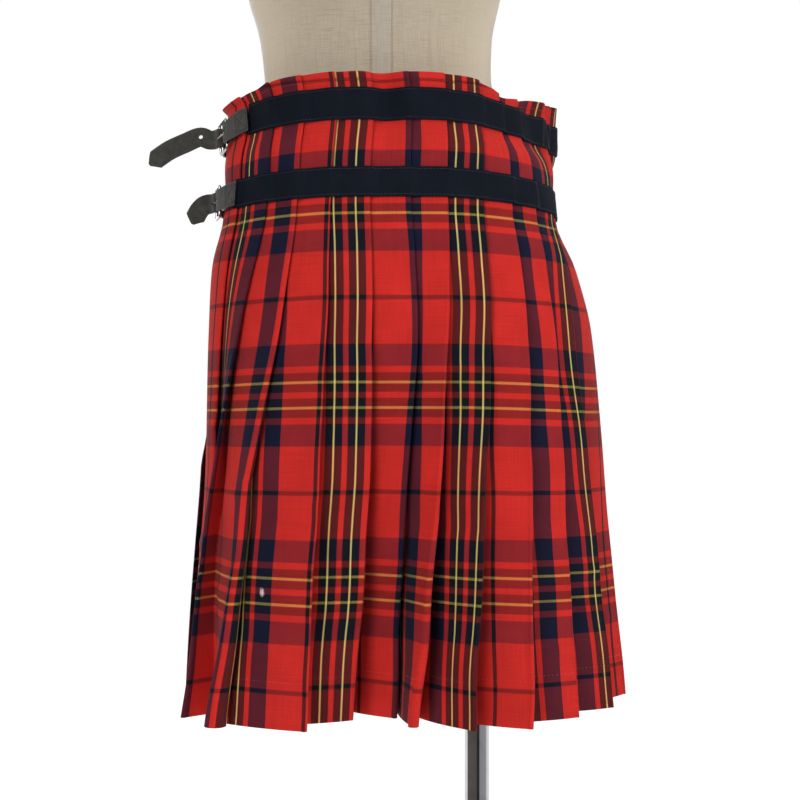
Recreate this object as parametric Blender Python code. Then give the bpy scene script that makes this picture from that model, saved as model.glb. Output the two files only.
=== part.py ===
"""Wrap skirt on a dress form, as closed solids in metres, +Z up.

The pleated back faces -Y and +X is at the right of someone who looks at the pleats.
The origin is on the floor, at the centre of the base plate's underside, below the form.

Every section of the cloth is drawn on a ring round the form. A place on a ring has a bearing in
degrees, 0 at the middle of the pleats and growing towards +X, and a depth inwards from the ring.
The ring is the middle of the outermost layer of cloth.
"""
import math
from collections import namedtuple

import bpy
from mathutils import Vector

# Heights above the floor
TOP_Z = 1.038
UPPER_BAND_Z = (0.992, 1.023)
LOWER_BAND_Z = (0.918, 0.947)
HEM_Z = 0.418
SEAT_Z = LOWER_BAND_Z[0]
MIDDLE_Z = 0.970
HIGH_HIP_Z = 0.865
CLOTH_ROWS = (TOP_Z, UPPER_BAND_Z[1], UPPER_BAND_Z[0], MIDDLE_Z, LOWER_BAND_Z[1], SEAT_Z,
              HIGH_HIP_Z, 0.800, 0.720, 0.620, 0.520, HEM_Z)

# Cloth, bands and leather
CLOTH = 0.0012
LAYER = 0.0018
SEAM_GAP = 0.0003
SEWN_GAP = 0.0005
BAND = 0.0015
TAB_LEATHER = 0.0018
STRAP_LEATHER = 0.0020
PLEAT_PITCH = 0.105
LEAST_TUCK = 0.005
HIP_TUCK = 0.90
WAIST_TUCK = 0.50
LOW_POINT = 0.008
FIRST_PANEL_SHARES = (0.3, 0.55, 0.75, 0.9)
PANEL_SHARES = (0.45, 0.75)
LAST_PANEL_SHARES = (0.2, 0.4, 0.55, 0.7, 0.85)
HEM_LOOP = 0.0040
FOLD_STEPS = 5
ROOT_STEPS = 3
MOST_LOW_SHARE = 0.4
AIM_SHARE = 0.7
STEEP_ROOM = 2.5
OPENING_POWER = 1.5

# Below the sewn part the folds near the middle turn to face straight back
FACING_DROP = 0.2
FACING_LEFT = (52, 12)
FACING_RIGHT = (50, 40)

# How far the sides hang below the middle of the back
LEFT_SAG = 0.008
RIGHT_SAG = 0.012
SAG_FROM = 20
SAG_OVER = 65

# The outermost ring of the cloth, level by level
Level = namedtuple("Level", "z half_width half_back half_front centre_x squareness dent_share")
LEVELS = (
    Level(TOP_Z, 0.1775, 0.126, 0.112, 0.0075, 2.05, 1.00),
    Level(UPPER_BAND_Z[1], 0.1735, 0.125, 0.112, 0.0095, 2.08, 0.95),
    Level(UPPER_BAND_Z[0], 0.1735, 0.125, 0.113, 0.0105, 2.15, 0.80),
    Level(MIDDLE_Z, 0.1720, 0.1265, 0.1145, 0.0098, 2.22, 0.36),
    Level(LOWER_BAND_Z[1], 0.1702, 0.128, 0.116, 0.0090, 2.30, 0.10),
    Level(SEAT_Z, 0.1710, 0.130, 0.118, 0.0090, 2.40, 0.00),
    Level(HIGH_HIP_Z, 0.1875, 0.1355, 0.1265, 0.0133, 2.30, 0.00),
    Level(0.800, 0.1975, 0.141, 0.135, 0.0195, 2.20, 0.00),
    Level(0.620, 0.2082, 0.150, 0.145, 0.0243, 2.15, 0.00),
    Level(HEM_Z, 0.2294, 0.158, 0.155, 0.0248, 2.10, 0.00),
)

# Where the waist falls inside its ring: the hollow of the back and the loose fold at the right
Dent = namedtuple("Dent", "bearing depth")
DENTS = (
    Dent(-80, 0.006), Dent(-62, 0.008), Dent(-42, 0.000), Dent(-14, -0.002), Dent(-2, 0.011),
    Dent(12, -0.001), Dent(32, 0.006), Dent(60, 0.023), Dent(75, 0.029), Dent(87, 0.014),
    Dent(94, 0.014), Dent(105, -0.0170), Dent(135, 0.000), Dent(235, 0.000), Dent(262, 0.004),
    Dent(280, 0.006),
)

# How far the top edge alone droops, or is lifted where the loose fold pushes it up
Droop = namedtuple("Droop", "bearing drop")
TOP_EDGE = (
    Droop(-115, 0.000), Droop(-80, 0.010), Droop(-60, 0.004), Droop(-50, 0.000),
    Droop(38, 0.000), Droop(50, 0.003), Droop(58, 0.008), Droop(67, 0.005), Droop(80, -0.001),
    Droop(104, -0.006), Droop(130, 0.000),
)

# One row for each pleat: bearings of its outer fold, then its form at the hem
Fold = namedtuple("Fold", "name top band hip knee hem hem_out hem_step hem_roll")
FOLDS = (
    Fold("first", -68, -64, -69, -74, -80, -0.004, 0.020, 0.004),
    Fold("second", -52, -49, -58, -66, -63.5, 0.028, 0.030, 0.004),
    Fold("rolled", -37, -37, -43, -50, -49, 0.041, 0.020, 0.020),
    Fold("fourth", -23, -24, -27, -29, -29, 0.022, 0.035, 0.004),
    Fold("fifth", -8, -8, -11, -15, -23, -0.036, 0.036, 0.004),
    Fold("sunk", 9, 9, 7, 0, -5, -0.048, 0.026, 0.004),
    Fold("standing", 25, 24, 18.5, 12, 3.5, -0.006, 0.046, 0.009),
    Fold("eighth", 42, 38, 33.5, 27, 20.8, 0.013, 0.030, 0.004),
    Fold("ninth", 55, 49, 46, 41.5, 37, 0.019, 0.034, 0.004),
    Fold("tenth", 66.5, 60, 57, 57, 58, -0.006, 0.028, 0.004),
    Fold("eleventh", 84, 74, 66, 71, 75, -0.008, 0.036, 0.004),
    Fold("last", 98, 93, 91, 90, 93, 0.000, 0.022, 0.004),
)
FOLD_HEIGHTS = (TOP_Z, SEAT_Z, 0.800, 0.620, HEM_Z)
TUCK_HEIGHTS = (UPPER_BAND_Z[0], SEAT_Z)
LEFT_SEAM = -104
RIGHT_SEAM = 111
UNDER_APRON_START = 124
FREE_EDGE = (263, 263, 263, 261, 255)
FREE_EDGE_OUT = 0.015
FREE_EDGE_LIFT = 0.0045
FREE_EDGE_LIFT_Z = 0.695
FREE_EDGE_LIFT_OVER = 0.040
FREE_EDGE_OVER = 30
APRON_WAVE = 0.004
APRON_WAVES = 5
SEAM_STEP_OVER = 16
UNDER_STEP_OVER = 20
UNDER_CLEAR_OVER = 40
APRON_COLUMNS = 26

# Bands
BAND_START = -65
BAND_END = 256

# The form: sections from its underside to its neck
Section = namedtuple("Section", "z half_width half_back half_front centre_x")
FORM_SEAT_GAP = 0.0006
FORM = (
    Section(0.700, 0.126, 0.076, 0.078, 0.008),
    Section(0.708, 0.142, 0.088, 0.090, 0.008),
    Section(0.740, 0.153, 0.098, 0.098, 0.009),
    Section(0.800, 0.161, 0.110, 0.105, 0.009),
    Section(0.870, 0.1615, 0.1175, 0.1055, 0.009),
    Section(SEAT_Z, 0.1628, 0.1218, 0.1098, 0.009),
    Section(0.960, 0.150, 0.113, 0.103, 0.006),
    Section(1.000, 0.131, 0.101, 0.095, 0.001),
    Section(1.050, 0.1165, 0.090, 0.088, -0.003),
    Section(1.090, 0.119, 0.089, 0.090, -0.005),
    Section(1.137, 0.130, 0.093, 0.099, -0.007),
    Section(1.200, 0.143, 0.100, 0.112, -0.008),
    Section(1.260, 0.151, 0.104, 0.116, -0.008),
    Section(1.320, 0.158, 0.104, 0.106, -0.008),
    Section(1.370, 0.172, 0.096, 0.088, -0.008),
    Section(1.400, 0.170, 0.083, 0.074, -0.008),
    Section(1.420, 0.146, 0.070, 0.062, -0.008),
    Section(1.436, 0.106, 0.060, 0.054, -0.008),
    Section(1.452, 0.071, 0.053, 0.049, -0.008),
    Section(1.475, 0.056, 0.048, 0.046, -0.008),
    Section(1.515, 0.052, 0.046, 0.045, -0.008),
)
FORM_SQUARENESS = 2.2
FORM_COLUMNS = 48
BUST_Z = 1.255
BUST_BEARING = 146
BUST_OUT = 0.020
BUST_SPREAD_Z = 0.050
BUST_SPREAD_BEARING = 20
SEAT_BLEND = 0.045

# The stand
POLE_X = 0.099
POLE_RADIUS = 0.0127
BASE_RADIUS = 0.170
BASE_HEIGHT = 0.010
BASE_EDGE = 0.003
HUB_RADIUS = 0.021
HUB_HEIGHT = 0.028
SOCKET_PLATE_RADIUS = 0.034
SOCKET_PLATE = 0.005
SOCKET_RADIUS = 0.0175
SOCKET_LENGTH = 0.050
STAND_SIDES = 32

# Buckles, tabs and straps
WIRE_RADIUS = 0.0015
PRONG_RADIUS = 0.0009
BUCKLE_LENGTH = 0.022
BUCKLE_HEIGHT = 0.031
BUCKLE_CORNER = 0.0020
CORNER_STEPS = 3
BUCKLE_REST = (-73, -81)
PRONG_LOOP = range(-60, -301, -40)
PRONG_SHARES = (0.35, 0.7, 1.0)
STRAP_WIDTH = 0.020
SLOT_WIDTH = 0.0034
SLOT_SHIFT = 0.001
SLOT_REACH = 0.006
SLOT_DEPTH = 0.008
HEEL_BEARING = -76
HEEL_OUT = 0.0056
HOLE_RADIUS = 0.0020
HOLE_DEPTH = 0.006
HOLE_SIDES = 12
CLOTH_STEP = 0.010
Tab = namedtuple("Tab", "bearing out width")
TAB_OUTER = (Tab(-64, 0.0038, 0.0245), Tab(-66, 0.0045, 0.0245), Tab(-68, 0.0054, 0.024),
             Tab(-70, 0.0062, 0.0232), Tab(-72.5, 0.0075, 0.022))
TAB_INNER = (Tab(-72.5, 0.0027, 0.021), Tab(-71, 0.0027, 0.0212), Tab(-69.5, 0.0027, 0.0215))
TAB_AT_BAR = 0.0195
TAB_TURNS = (90, 45, 0, -45, -90)

# The straps: fastened under the band's end, then through the buckle with the spare end turned back
FASTENINGS = ("upper", "lower")
Fastening = namedtuple("Fastening", "band heel_drop tilt curl lift free_end hole")
Free = namedtuple("Free", "x y z")
UPPER = Fastening(UPPER_BAND_Z, 0.008, 12, 0.008, 0.001,
                  (Free(-0.1836, -0.0185, 0.9921), Free(-0.2000, -0.0175, 0.9860),
                   Free(-0.2162, -0.0150, 0.9791), Free(-0.2305, -0.0120, 0.9700),
                   Free(-0.2373, -0.0100, 0.9650)), True)
LOWER = Fastening(LOWER_BAND_Z, 0.002, 5, 0.006, 0.000,
                  (Free(-0.1810, -0.0190, 0.9215), Free(-0.1855, -0.0180, 0.9170),
                   Free(-0.1895, -0.0170, 0.9100), Free(-0.1925, -0.0160, 0.9035)), False)
STRAP_SHIFT = 0.0020
STRAP_POINT = 0.003
STRAP_TURNS = (-90, -135, 180, 135, 90)
CURL_TURNS = (25, 50, 75)
Laid = namedtuple("Laid", "bearing out")
STRAP_LAID = (Laid(239, 0.0041), Laid(245, 0.0041), Laid(251, 0.0041), Laid(256.5, 0.0042),
              Laid(262.5, 0.0043), Laid(269, 0.0041))

SMOOTH_ANGLE = math.radians(35)


def clear_scene():
    for item in list(bpy.data.objects):
        bpy.data.objects.remove(item, do_unlink=True)


def material(name, colour, roughness, metallic=0.0):
    made = bpy.data.materials.new(name)
    made.use_nodes = True
    shader = made.node_tree.nodes["Principled BSDF"]
    shader.inputs["Base Color"].default_value = (*colour, 1.0)
    shader.inputs["Roughness"].default_value = roughness
    shader.inputs["Metallic"].default_value = metallic
    return made


def make_object(name, vertices, faces, finish):
    mesh = bpy.data.meshes.new(name)
    mesh.from_pydata([tuple(v) for v in vertices], [], faces)
    mesh.validate()
    mesh.shade_smooth()
    mesh.set_sharp_from_angle(angle=SMOOTH_ANGLE)
    mesh.materials.append(finish)
    made = bpy.data.objects.new(name, mesh)
    bpy.context.scene.collection.objects.link(made)
    return made


def ease(share):
    share = max(0.0, min(1.0, share))
    return share * share * (3 - 2 * share)


def mix(a, b, share):
    return a + (b - a) * share


def through(places, values, place):
    """A smooth value between the listed ones, with no overshoot. Places fall from first to last."""
    if place >= places[0]:
        return values[0]
    if place <= places[-1]:
        return values[-1]
    slopes = [(b - a) / (q - p) for p, q, a, b in zip(places, places[1:], values, values[1:])]
    tangents = [slopes[0]]
    for before, after in zip(slopes, slopes[1:]):
        same_way = before * after > 0
        tangents.append(2 * before * after / (before + after) if same_way else 0.0)
    tangents.append(slopes[-1])
    index = max(i for i in range(len(places) - 1) if places[i] >= place)
    span = places[index + 1] - places[index]
    t = (place - places[index]) / span
    start = (1 + 2 * t) * (1 - t) ** 2 * values[index] + t * (1 - t) ** 2 * span * tangents[index]
    end = (t * t * (3 - 2 * t) * values[index + 1]
           + t * t * (t - 1) * span * tangents[index + 1])
    return start + end


def level_value(column, z):
    return through([row.z for row in LEVELS], [getattr(row, column) for row in LEVELS], z)


def superellipse(bearing, half_width, half_depth, squareness):
    turn = math.radians(bearing)
    across = abs(math.sin(turn)) / half_width
    deep = abs(math.cos(turn)) / half_depth
    return (across ** squareness + deep ** squareness) ** (-1 / squareness)


def dent(bearing):
    bearing = (bearing + 80) % 360 - 80
    for left, right in zip(DENTS, DENTS[1:]):
        if left.bearing <= bearing <= right.bearing:
            share = (bearing - left.bearing) / (right.bearing - left.bearing)
            return mix(left.depth, right.depth, ease(share))
    return 0.0


def ring_radius(bearing, z):
    back = math.cos(math.radians(bearing)) > 0
    half_depth = level_value("half_back" if back else "half_front", z)
    radius = superellipse(bearing, level_value("half_width", z), half_depth,
                          level_value("squareness", z))
    return radius - dent(bearing) * level_value("dent_share", z)


def slant(bearing, z):
    """How much longer a step along the spoke is than the same step square to the ring."""
    rise = ring_radius(bearing + 1, z) - ring_radius(bearing - 1, z)
    return math.hypot(1, rise / (math.radians(2) * ring_radius(bearing, z)))


def place(bearing, depth, z):
    """The plan point at a bearing, so far inside the ring."""
    radius = ring_radius(bearing, z) - depth * slant(bearing, z)
    turn = math.radians(bearing)
    return Vector((level_value("centre_x", z) + radius * math.sin(turn), -radius * math.cos(turn)))


def bearing_of(point, z):
    return math.degrees(math.atan2(point.x - level_value("centre_x", z), -point.y))


def depth_of(point, z):
    from_centre = Vector((point.x - level_value("centre_x", z), point.y))
    bearing = bearing_of(point, z)
    return (ring_radius(bearing, z) - from_centre.length) / slant(bearing, z)


def sag(bearing, z):
    """How far a row of the cloth hangs down at a bearing. The hem hangs level."""
    bearing = (bearing + 180) % 360 - 180
    most = RIGHT_SAG if bearing > 0 else LEFT_SAG
    side = ease((abs(bearing) - SAG_FROM) / SAG_OVER)
    hidden = mix(1.0, 0.5 * (RIGHT_SAG + LEFT_SAG) / most, ease((abs(bearing) - 90) / 90))
    return most * side * hidden * (z - HEM_Z) / (TOP_Z - HEM_Z)


def droop(bearing, z):
    """How much further the edge above the upper band hangs down than the rest."""
    share = (z - UPPER_BAND_Z[1]) / (TOP_Z - UPPER_BAND_Z[1])
    for left, right in zip(TOP_EDGE, TOP_EDGE[1:]):
        if share > 0 and left.bearing <= bearing <= right.bearing:
            along = (bearing - left.bearing) / (right.bearing - left.bearing)
            return share * mix(left.drop, right.drop, ease(along))
    return 0.0


def in_space(point, z):
    bearing = bearing_of(point, z)
    return Vector((point.x, point.y, z - sag(bearing, z) - droop(bearing, z)))


def swing(z):
    """How far the pleats have opened: 0 where they are sewn down, 1 at the hem."""
    return max(0.0, (SEAT_Z - z) / (SEAT_Z - HEM_Z)) ** OPENING_POWER


def turned(vector, quarter):
    return Vector((-vector.y, vector.x)) * quarter


def between(first, second, share, z):
    """A plan point between two others, along the ring's own curve."""
    start, end = bearing_of(first, z), bearing_of(second, z)
    if end < start - 180:
        end += 360
    return place(mix(start, end, share), mix(depth_of(first, z), depth_of(second, z), share), z)


def fold_points(tip, arriving, leaving, radius, side, steps):
    """A rounded fold of the cloth with its tip at the given plan point."""
    nose = (arriving - leaving).normalized()
    centre = tip - nose * radius
    sideways = turned(nose, side)
    turns = [math.pi * (0.5 - step / (steps - 1)) for step in range(steps)]
    return [centre + radius * (nose * math.cos(t) + sideways * math.sin(t)) for t in turns]


def crest(fold, z):
    """The outer fold of a pleat: its tip, its upper leg, the next panel's start and its roll."""
    open_share = swing(z)
    bearing = through(FOLD_HEIGHTS, [fold.top, fold.band, fold.hip, fold.knee, fold.hem], z)
    roll = mix(LAYER, fold.hem_roll, open_share)
    depth = -fold.hem_out * open_share
    brow = place(bearing, depth, z)
    tip = place(bearing, depth + roll / 2 * (1 - open_share), z)
    inwards = Vector((-math.sin(math.radians(bearing)), math.cos(math.radians(bearing))))
    turn_from, turn_over = FACING_LEFT if bearing < 0 else FACING_RIGHT
    across_back = 1 - ease((abs(bearing) - turn_from) / turn_over)
    facing = ease((SEAT_Z - z) / FACING_DROP) * across_back
    inwards = inwards.lerp(Vector((0, 1)), facing).normalized()
    sewn = place(bearing, depth + LAYER + roll, z)
    opened = brow + inwards * fold.hem_step + turned(inwards, -1) * roll / 2
    return tip, brow, sewn.lerp(opened, open_share), roll


def pleat_plan(z):
    """The pleated back at one height: its whole plan line and the part that shows outside."""
    crests = [crest(fold, z) for fold in FOLDS]
    left = place(LEFT_SEAM, 2 * LAYER, z)
    right = place(RIGHT_SEAM, 2 * LAYER, z)
    brows = [brow for tip, brow, start, roll in crests] + [right]
    starts = [left] + [start for tip, brow, start, roll in crests]
    line = [left] + [between(left, brows[0], share, z) for share in FIRST_PANEL_SHARES]
    outside = line[1:]
    for index, (tip, brow, start, roll) in enumerate(crests):
        after = brows[index + 1]
        shown = (after - start).length
        hidden = PLEAT_PITCH - shown
        tuck = max(LEAST_TUCK, (hidden - (brow - start).length) / 2)
        radius = (start - Vector((level_value("centre_x", z), 0))).length
        before, here = bearing_of(starts[index], z), bearing_of(brow, z)
        root_bearing = max(bearing_of(start, z) - math.degrees(tuck / radius),
                           mix(here, before, through(TUCK_HEIGHTS, (WAIST_TUCK, HIP_TUCK), z)))
        share = (root_bearing - before) / (here - before)
        panel_depth = mix(depth_of(starts[index], z), depth_of(brow, z), share)
        panel_rise = (depth_of(starts[index], z) - depth_of(brow, z)) / (brow - starts[index]).length
        slope = (depth_of(start, z) - depth_of(after, z)) / shown
        tuck = radius * math.radians(bearing_of(start, z) - root_bearing)
        lower_leg = max(depth_of(start, z) + slope * tuck * swing(z),
                        panel_depth + 2 * LAYER * math.hypot(1, STEEP_ROOM * panel_rise))
        loop = mix(LAYER, HEM_LOOP, swing(z))
        root = place(root_bearing, lower_leg - loop / 2 * (1 - swing(z)), z)
        arriving = (brow - line[-1]).normalized()
        halfway = between(tip, root, 0.5, z)
        leaving = (halfway - tip).normalized()
        folded = fold_points(tip, arriving, leaving, roll / 2, -1, FOLD_STEPS)
        to_root = (root - halfway).normalized()
        from_root = (between(root, start, AIM_SHARE, z) - root).normalized()
        rooted = fold_points(root, to_root, from_root, loop / 2, 1, ROOT_STEPS)
        returning = between(folded[-1], rooted[0], 0.5, z)
        hidden_middle = between(rooted[-1], start, 0.5, z)
        low = between(start, after, min(MOST_LOW_SHARE, LOW_POINT / shown), z)
        panel = [low] + [between(start, after, share, z) for share in PANEL_SHARES]
        line += folded + [returning] + rooted + [hidden_middle, start] + panel
        outside += [folded[0], brow] + panel
    last = [between(starts[-1], right, share, z) for share in LAST_PANEL_SHARES] + [right]
    line = line[:-len(panel)] + last
    outside = outside[:-len(panel)] + last
    return line, outside


def over_apron_plan(z):
    start = RIGHT_SEAM + math.degrees(SEAM_GAP / ring_radius(RIGHT_SEAM, z))
    end = through(FOLD_HEIGHTS, FREE_EDGE, z)
    opened = (FREE_EDGE_OUT * swing(z)
              + FREE_EDGE_LIFT * ease((FREE_EDGE_LIFT_Z - z) / FREE_EDGE_LIFT_OVER))
    line = []
    for column in range(APRON_COLUMNS):
        share = column / (APRON_COLUMNS - 1)
        bearing = mix(start, end, share)
        depth = 2 * LAYER * (1 - ease((bearing - start) / SEAM_STEP_OVER))
        wave = APRON_WAVE * math.sin(math.radians((bearing - start) * APRON_WAVES)) * swing(z)
        flare = opened * ease((bearing - end + FREE_EDGE_OVER) / FREE_EDGE_OVER)
        line.append(place(bearing, depth - wave * ease(share * 4) - flare, z))
    return line


def under_apron_plan(z):
    end = LEFT_SEAM + 360 - math.degrees(SEAM_GAP / ring_radius(LEFT_SEAM, z))
    line = []
    for column in range(APRON_COLUMNS):
        share = column / (APRON_COLUMNS - 1)
        bearing = mix(UNDER_APRON_START, end, share)
        depth = 4 * LAYER - 2 * LAYER * ease((bearing - end + UNDER_STEP_OVER) / UNDER_STEP_OVER)
        wave = math.sin(math.radians((bearing - RIGHT_SEAM) * APRON_WAVES)) * APRON_WAVE * swing(z)
        clear = 1 - ease((bearing - end + UNDER_CLEAR_OVER) / UNDER_CLEAR_OVER)
        depth += 2 * APRON_WAVE * swing(z) * clear
        line.append(place(bearing, depth - wave * ease((1 - share) * 4), z))
    return line


def moved_out(line, distance):
    """The plan line moved to its right, which is outwards for growing bearings."""
    moved = []
    for index, point in enumerate(line):
        before = (point - line[max(index - 1, 0)])
        after = (line[min(index + 1, len(line) - 1)] - point)
        before = before if before.length else after
        after = after if after.length else before
        one, two = turned(before.normalized(), -1), turned(after.normalized(), -1)
        moved.append(point + (one + two) * distance / (1 + one.dot(two)))
    return moved


def wall(name, plans, heights, inner, outer, finish):
    """A closed wall through plan lines, from one distance outside them to another."""
    rows = []
    for plan, z in zip(plans, heights):
        row = [[in_space(p, z) for p in moved_out(plan, side)] for side in (inner, outer)]
        rows.append(row)
    columns = len(plans[0])
    vertices = [p for row in rows for side in row for p in side]

    def at(row, side, column):
        return (row * 2 + side) * columns + column

    faces = []
    for row in range(len(rows) - 1):
        for column in range(columns - 1):
            step = plans[row][column + 1] - plans[row][column]
            onwards = plans[row][column].cross(step) > 0
            for side in (0, 1):
                corners = [at(row, side, column), at(row + 1, side, column),
                           at(row + 1, side, column + 1), at(row, side, column + 1)]
                if not onwards:
                    corners = corners[1:] + corners[:1]
                one, two, three, four = corners
                halves = [(one, two, three), (one, three, four)]
                faces += halves if side else [half[::-1] for half in halves]
        faces.append((at(row, 0, 0), at(row + 1, 0, 0), at(row + 1, 1, 0), at(row, 1, 0)))
        last = columns - 1
        faces.append((at(row, 1, last), at(row + 1, 1, last),
                      at(row + 1, 0, last), at(row, 0, last)))
    bottom = len(rows) - 1
    for column in range(columns - 1):
        faces.append((at(0, 0, column), at(0, 1, column),
                      at(0, 1, column + 1), at(0, 0, column + 1)))
        faces.append((at(bottom, 0, column + 1), at(bottom, 1, column + 1),
                      at(bottom, 1, column), at(bottom, 0, column)))
    return make_object(name, vertices, faces, finish)


def cloth(name, plan, finish):
    lines = [plan(z) for z in CLOTH_ROWS]
    return wall(name, lines, CLOTH_ROWS, -CLOTH / 2, CLOTH / 2, finish)


def clipped(line, z, start, end):
    """The part of an outside line between two bearings."""
    bearings = [bearing_of(p, z) for p in line]
    bearings = [b + 360 if i > len(line) / 2 and b < 0 else b for i, b in enumerate(bearings)]
    kept = []
    pairs = list(zip(line, bearings))
    for (first, one), (second, two) in zip(pairs, pairs[1:]):
        if one <= start < two:
            kept.append(first.lerp(second, (start - one) / (two - one)))
        if start < one < end:
            kept.append(first)
        if one < end <= two:
            kept.append(first.lerp(second, (end - one) / (two - one)))
    return kept


def band(name, heights, finish):
    """A woven band over the pleats and the outer apron, made from their outside points."""
    rows = (heights[1], heights[0])
    lines = []
    for z in rows:
        outside = pleat_plan(z)[1] + over_apron_plan(z)[1:]
        lines.append(clipped(outside, z, BAND_START, BAND_END))
    inner = CLOTH / 2 + SEWN_GAP
    return wall(name, lines, rows, inner, inner + BAND, finish)


def ribbon(name, stations, thickness, finish):
    """A flat strip through stations of centre, direction across and width."""
    vertices = []
    for index, (centre, across, width) in enumerate(stations):
        before = stations[max(index - 1, 0)][0]
        after = stations[min(index + 1, len(stations) - 1)][0]
        along = (after - before).normalized()
        across = (across - along * across.dot(along)).normalized()
        normal = along.cross(across)
        for side, face in ((-1, -1), (1, -1), (1, 1), (-1, 1)):
            vertices.append(centre + across * side * width / 2 + normal * face * thickness / 2)
    faces = [(3, 2, 1, 0)]
    for index in range(len(stations) - 1):
        low, high = 4 * index, 4 * index + 4
        for corner in range(4):
            beside = (corner + 1) % 4
            faces.append((low + corner, low + beside, high + beside, high + corner))
    end = 4 * (len(stations) - 1)
    faces.append((end, end + 1, end + 2, end + 3))
    return make_object(name, vertices, faces, finish)


def rod(name, path, radius, sides, finish, closed=False):
    """A round wire along a path of points."""
    count = len(path)
    vertices = []
    reference = None
    for index, point in enumerate(path):
        before = path[index - 1] if closed or index else path[index]
        after = path[(index + 1) % count] if closed or index < count - 1 else path[index]
        along = (after - before).normalized()
        if reference is None:
            reference = along.orthogonal().normalized()
        reference = (reference - along * reference.dot(along)).normalized()
        other = along.cross(reference)
        for side in range(sides):
            turn = 2 * math.pi * side / sides
            spoke = reference * math.cos(turn) + other * math.sin(turn)
            vertices.append(point + spoke * radius)
    faces = []
    for index in range(count if closed else count - 1):
        low, high = index * sides, (index + 1) % count * sides
        for side in range(sides):
            beside = (side + 1) % sides
            faces.append((low + side, low + beside, high + beside, high + side))
    if not closed:
        faces.append(tuple(reversed(range(sides))))
        faces.append(tuple(range((count - 1) * sides, count * sides)))
    return make_object(name, vertices, faces, finish)


def turned_piece(name, profile, centre_x, finish):
    """A closed profile of radius and height, spun round an upright axis. None of it is on the axis
    unless its first and last points are."""
    vertices = []
    rings = []
    for radius, height in profile:
        if radius == 0:
            rings.append([len(vertices)])
            vertices.append(Vector((centre_x, 0, height)))
            continue
        rings.append(list(range(len(vertices), len(vertices) + STAND_SIDES)))
        for side in range(STAND_SIDES):
            turn = 2 * math.pi * side / STAND_SIDES
            vertices.append(Vector((centre_x + radius * math.cos(turn),
                                    radius * math.sin(turn), height)))
    solid = profile[0][0] == 0
    pairs = list(zip(rings, rings[1:]))
    if not solid:
        pairs.append((rings[-1], rings[0]))
    faces = []
    for low, high in pairs:
        for side in range(STAND_SIDES):
            beside = (side + 1) % STAND_SIDES
            if len(low) == 1:
                faces.append((low[0], high[beside], high[side]))
            elif len(high) == 1:
                faces.append((low[side], low[beside], high[0]))
            else:
                faces.append((low[side], low[beside], high[beside], high[side]))
    return make_object(name, vertices, faces, finish)


def form_radius(bearing, z):
    def size(column):
        rows = FORM[::-1]
        return through([row.z for row in rows], [getattr(row, column) for row in rows], z)

    back = math.cos(math.radians(bearing)) > 0
    near_seat = ease(1 - abs(z - SEAT_Z) / SEAT_BLEND)
    squareness = mix(FORM_SQUARENESS, level_value("squareness", SEAT_Z), near_seat)
    radius = superellipse(bearing, size("half_width"),
                          size("half_back" if back else "half_front"), squareness)
    for side in (-1, 1):
        aside = ((bearing - side * BUST_BEARING + 180) % 360 - 180) / BUST_SPREAD_BEARING
        high = (z - BUST_Z) / BUST_SPREAD_Z
        radius += BUST_OUT * math.exp(-aside * aside - high * high)
    return radius, size("centre_x")


def dress_form(finish):
    """The limbless form. Its hip carries the skirt all round at the lower band's lower edge."""
    vertices = []
    columns = FORM_COLUMNS
    for row in FORM:
        share = ease(1 - abs(row.z - SEAT_Z) / SEAT_BLEND)
        for column in range(columns):
            bearing = 360 * column / columns
            if row.z == SEAT_Z:
                inset = (4 * LAYER + CLOTH / 2 + FORM_SEAT_GAP) * slant(bearing, SEAT_Z)
                radius, centre_x = ring_radius(bearing, SEAT_Z) - inset, row.centre_x
            else:
                radius, centre_x = form_radius(bearing, row.z)
            turn = math.radians(bearing)
            vertices.append(Vector((centre_x + radius * math.sin(turn), -radius * math.cos(turn),
                                    row.z - sag(bearing, SEAT_Z) * share)))
    faces = []
    for row in range(len(FORM) - 1):
        for column in range(columns):
            beside = (column + 1) % columns
            low, high = row * columns, (row + 1) * columns
            faces.append((low + column, low + beside, high + beside, high + column))
    faces.append(tuple(reversed(range(columns))))
    top = (len(FORM) - 1) * columns
    faces.append(tuple(range(top, top + columns)))
    return make_object("dress_form", vertices, faces, finish)


def stand(chrome, steel):
    base = BASE_HEIGHT
    turned_piece("base_plate", ((0, 0), (BASE_RADIUS - BASE_EDGE, 0), (BASE_RADIUS, BASE_EDGE),
                                (BASE_RADIUS, base - BASE_EDGE), (BASE_RADIUS - BASE_EDGE, base),
                                (0, base)), 0.0, steel)
    bore = POLE_RADIUS + SEAM_GAP
    floor = base + SEAM_GAP
    turned_piece("base_hub", ((bore, floor), (HUB_RADIUS, floor),
                              (HUB_RADIUS, floor + HUB_HEIGHT - BASE_EDGE),
                              (HUB_RADIUS - BASE_EDGE, floor + HUB_HEIGHT),
                              (bore, floor + HUB_HEIGHT)), POLE_X, chrome)
    underside = FORM[0].z - SEAM_GAP
    plate = underside - SOCKET_PLATE
    turned_piece("pole", ((0, floor), (POLE_RADIUS, floor), (POLE_RADIUS, plate - SEAM_GAP),
                          (0, plate - SEAM_GAP)), POLE_X, chrome)
    turned_piece("pole_socket", ((0, plate), (bore, plate), (bore, plate - SOCKET_LENGTH),
                                 (SOCKET_RADIUS, plate - SOCKET_LENGTH), (SOCKET_RADIUS, plate),
                                 (SOCKET_PLATE_RADIUS, plate), (SOCKET_PLATE_RADIUS, underside),
                                 (0, underside)), POLE_X, chrome)


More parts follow.
